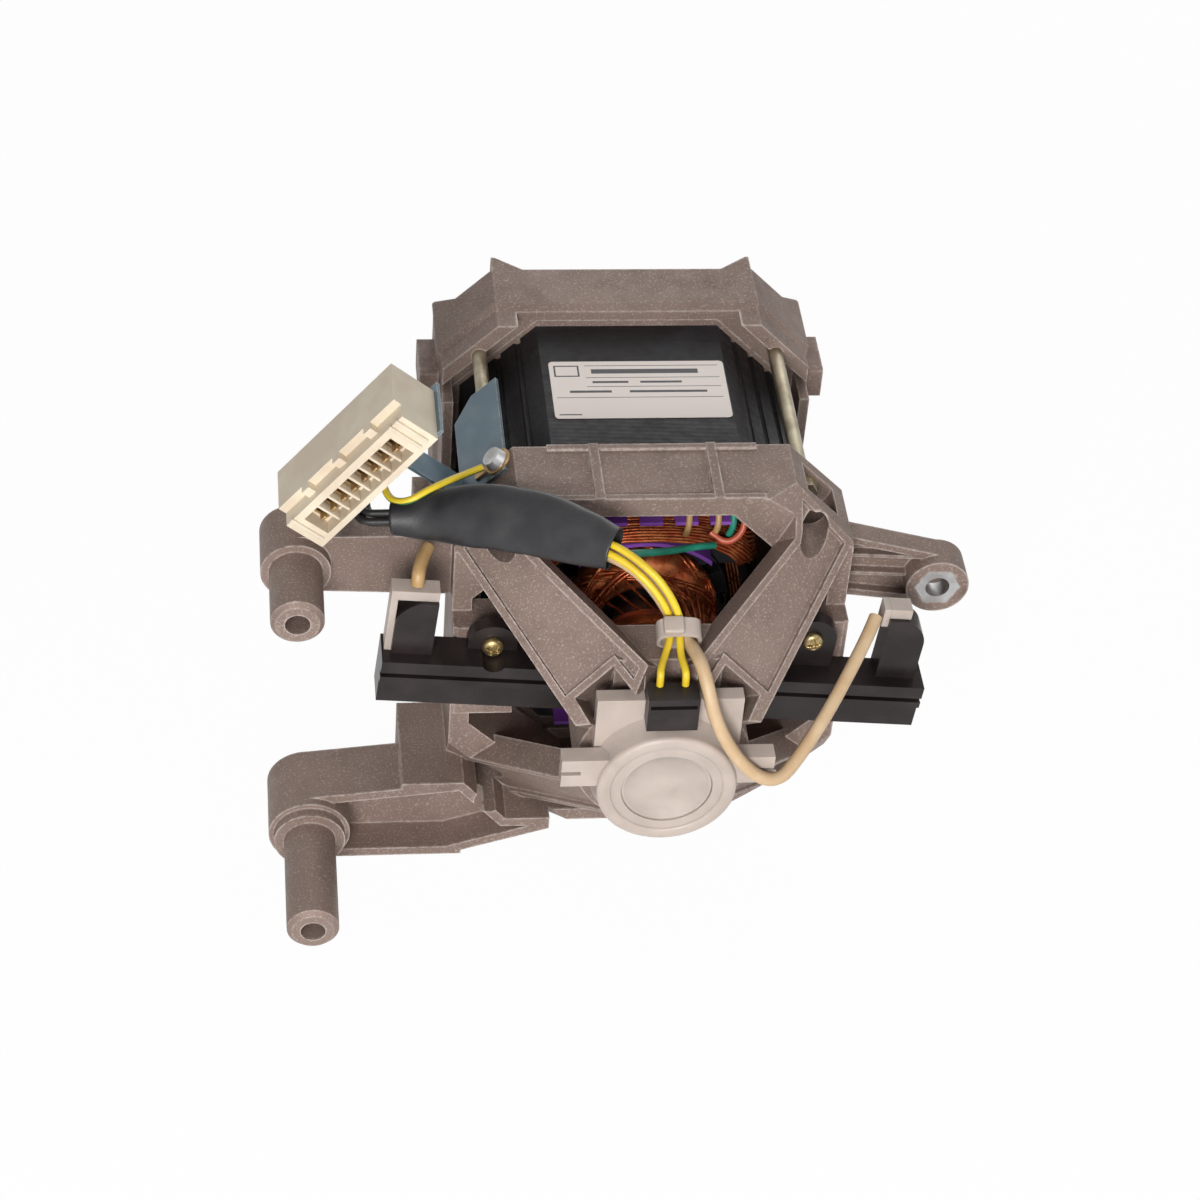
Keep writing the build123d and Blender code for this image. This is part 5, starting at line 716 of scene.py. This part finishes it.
def winding_routes(wires, end, way, head):
    """Wires of every coil at one end of the armature; way points away from the stack."""
    routes = []
    for slot in range(SLOTS):
        start, stop = FULL_TURN * slot / SLOTS, FULL_TURN * (slot + THROW) / SLOTS
        level = LOWEST + (1 - LOWEST) * (slot % LEVELS) / (LEVELS - 1)
        for wire in range(wires):
            shift = (wire / (wires - 1) - 0.5) * FAN
            depth = random.uniform(*LOOSE["depth"])
            rise = head * level - WINDING["crown"] * abs(shift) + random.uniform(*LOOSE["rise"])
            seat = WINDING["seat"] + depth * 0.6
            route = [around_axis(seat, start + shift * 0.35, end)]
            for u in ALONG_COIL:
                angle = start + (stop - start) * u + shift * (1 - 2 * u) * 0.5
                arch = math.sin(math.pi * (0.12 + 0.76 * u))
                radius = (WINDING["outer"] - WINDING["sink"] * arch ** 2 + depth - WINDING["margin"]
                          + WINDING["flare"] * abs(u - 0.5))
                wave = random.uniform(*LOOSE["wave"])
                height = max(rise * (0.45 + 0.55 * arch) + wave, 1.0)
                route.append(around_axis(min(radius, WINDING["outer"]), angle, end + way * height))
            route.append(around_axis(seat, stop - shift * 0.35, end))
            routes.append(route)
    return routes


def winding_core(name, end, way, head):
    """Body of wires below the outer bundles: radius in millimetres, height as a share of the head."""
    profile = ((14.0, 0.0), (25.0, 0.0), (25.5, 0.35), (22.0, 0.62), (16.0, 0.72), (14.0, 0.66))
    count = 48
    verts = [Vector(around_axis(radius, angle, end + way * head * height)) * MM
             for radius, height in profile for angle in angles(count)]
    faces = band_faces(len(profile), count, closed=True)
    return solid(name, verts, faces, MATERIALS["copper"], "rotor")


for word, wires, way in (("brush", 7, -1), ("drive", 6, 1)):
    routes = winding_routes(wires, STACK[word], way, WINDING[f"{word}_head"])
    piece = tube(f"armature_wires_{word}_end", routes, WIRE, MATERIALS["copper"], "rotor", smooth=4)
    if word == "brush":
        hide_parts("armature_winding")
for word, way in (("brush", -1), ("drive", 1)):
    core = winding_core(f"winding_core_{word}_end", STACK[word], way, WINDING[f"{word}_head"])

# Risers from the winding to the bars of the commutator: radius, angle behind the bar, and y
BARS, RISER = 24, 0.9
RISE = ((21.5, 0.5, -135.5), (20.5, 0.34, -142), (19.2, 0.12, -148), (19.6, 0, -152.6))
risers = [[around_axis(radius, FULL_TURN * (bar + 0.5) / BARS - behind, y) for radius, behind, y in RISE]
          for bar in range(BARS)]
tube("commutator_risers", risers, RISER, MATERIALS["copper"], "rotor", smooth=4)

# Field coils: each one long thin wire wound in layers round its pole
FIELD = {"slot_x": 35.9, "slot_z": 25.6, "shoulder_x": 23.6, "head_z": 35.9, "clear": 2.35, "lean": 0.42}
FINE_PITCH, PER_LAYER, LAYERS = 1.28, 8, 4


def field_wire(sign):
    """Route of one coil's wire, eight corners a turn; sign is that of its pole's z."""
    route = []
    for turn in range(PER_LAYER * LAYERS):
        layer, step = divmod(turn, PER_LAYER)
        step = step if layer % 2 == 0 else PER_LAYER - 1 - step
        for corner in range(8):
            spiral = step * FINE_PITCH + random.uniform(*LOOSE["spiral"])
            out = layer * FINE_PITCH + random.uniform(*LOOSE["layer"])
            side = -1 if corner in (0, 1, 6, 7) else 1
            if corner in (0, 3, 4, 7):
                x, z = FIELD["slot_x"] + out, FIELD["slot_z"] - spiral + FIELD["lean"] * out
            else:
                x, z = FIELD["shoulder_x"] + FIELD["lean"] * out, FIELD["head_z"] + out
            if corner < 4:
                y = STACK["brush"] - FIELD["clear"] - spiral
            else:
                y = STACK["drive"] + FIELD["clear"] + spiral
            route.append((side * x, y, sign * z))
    return [route]


for sign, word in ((1, "upper"), (-1, "lower")):
    coil = tube(f"field_wire_{word}", field_wire(sign), WIRE, MATERIALS["copper"], smooth=4)
    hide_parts(f"field_coil_{word}")


# Camera, fitted to the photograph
POSITION = Vector((-0.13434, -0.92256, 0.72218))
ELEVATION, AROUND, ROLL = (math.radians(a) for a in (41.8, 8.66, 4.9))
forward = Vector((math.sin(AROUND) * math.cos(ELEVATION), math.cos(AROUND) * math.cos(ELEVATION),
                  -math.sin(ELEVATION)))
level = Vector((math.cos(AROUND), -math.sin(AROUND), 0))
upright = level.cross(forward)
right = level * math.cos(ROLL) + upright * math.sin(ROLL)
up = upright * math.cos(ROLL) - level * math.sin(ROLL)
camera_data = bpy.data.cameras.new("camera")
camera_data.sensor_width = 36.0
camera_data.lens = 97.3
camera = bpy.data.objects.new("camera", camera_data)
bpy.context.collection.objects.link(camera)
camera.matrix_world = Matrix((
    (right.x, up.x, -forward.x, POSITION.x), (right.y, up.y, -forward.y, POSITION.y),
    (right.z, up.z, -forward.z, POSITION.z), (0, 0, 0, 1)))
bpy.context.scene.camera = camera

# Lamps: name, place in metres, size and power in watts; all face the motor's middle
CENTRE = Vector((-0.01, -0.1, 0.0))
LAMPS = (("key", (-0.25, -1.15, 0.5), 0.4, 13.0), ("fill", (0.85, -0.6, 0.4), 0.9, 2.0),
         ("top", (0.0, 0.3, 1.2), 0.8, 0.5), ("back", (0.3, 0.95, 0.5), 0.8, 3.5))
for name, place, size, power in LAMPS:
    data = bpy.data.lights.new(name, "AREA")
    data.size = size
    data.energy = power
    lamp = bpy.data.objects.new(name, data)
    bpy.context.collection.objects.link(lamp)
    lamp.location = place
    lamp.rotation_euler = (CENTRE - Vector(place)).to_track_quat("-Z", "Y").to_euler()


# White surroundings, for the rays that see them; the motor is lit by a dim sky and shadows stay
AMBIENT, AMBIENT_POWER = (0.95, 0.97, 1.0, 1), 0.16
FLOOR_GREY, FLOOR_WHITE, FLOOR_SIZE, FLOOR_DROP = (0.85, 0.85, 0.85, 1), 0.97, 8.0, 0.0003


def seen(tree):
    """1 for rays that see the background itself or by reflection."""
    path = tree.nodes.new("ShaderNodeLightPath")
    total = path.outputs["Is Camera Ray"]
    for name in ("Is Glossy Ray", "Is Transmission Ray"):
        node = tree.nodes.new("ShaderNodeMath")
        node.operation = "MAXIMUM"
        tree.links.new(total, node.inputs[0])
        tree.links.new(path.outputs[name], node.inputs[1])
        total = node.outputs[0]
    return total


def two_faced(tree, share, plain, white, output):
    """Mixes the plain and the white shader by the share, into a new output."""
    mix = tree.nodes.new("ShaderNodeMixShader")
    tree.links.new(share, mix.inputs[0])
    tree.links.new(plain.outputs[0], mix.inputs[1])
    tree.links.new(white.outputs[0], mix.inputs[2])
    tree.links.new(mix.outputs[0], tree.nodes.new(output).inputs[0])


world = bpy.data.worlds.new("studio")
bpy.context.scene.world = world
world.use_nodes = True
tree = world.node_tree
tree.nodes.clear()
ambient = tree.nodes.new("ShaderNodeBackground")
ambient.inputs["Color"].default_value = AMBIENT
ambient.inputs["Strength"].default_value = AMBIENT_POWER
white = tree.nodes.new("ShaderNodeBackground")
white.inputs["Strength"].default_value = 1.0
two_faced(tree, seen(tree), ambient, white, "ShaderNodeOutputWorld")

bpy.ops.mesh.primitive_plane_add(size=FLOOR_SIZE, location=(0, 0, cad_box[0][2] - FLOOR_DROP))
floor = bpy.context.object
floor.name = "floor"
floor_mat = bpy.data.materials.new("floor")
floor_mat.use_nodes = True
tree = floor_mat.node_tree
tree.nodes.clear()
diffuse = tree.nodes.new("ShaderNodeBsdfDiffuse")
diffuse.inputs["Color"].default_value = FLOOR_GREY
glow = tree.nodes.new("ShaderNodeEmission")
glow.inputs["Strength"].default_value = 1.0
share = tree.nodes.new("ShaderNodeMath")
share.operation = "MULTIPLY"
share.inputs[1].default_value = FLOOR_WHITE
tree.links.new(seen(tree), share.inputs[0])
two_faced(tree, share.outputs[0], diffuse, glow, "ShaderNodeOutputMaterial")
floor.data.materials.append(floor_mat)

bpy.context.scene.view_settings.view_transform = "Standard"
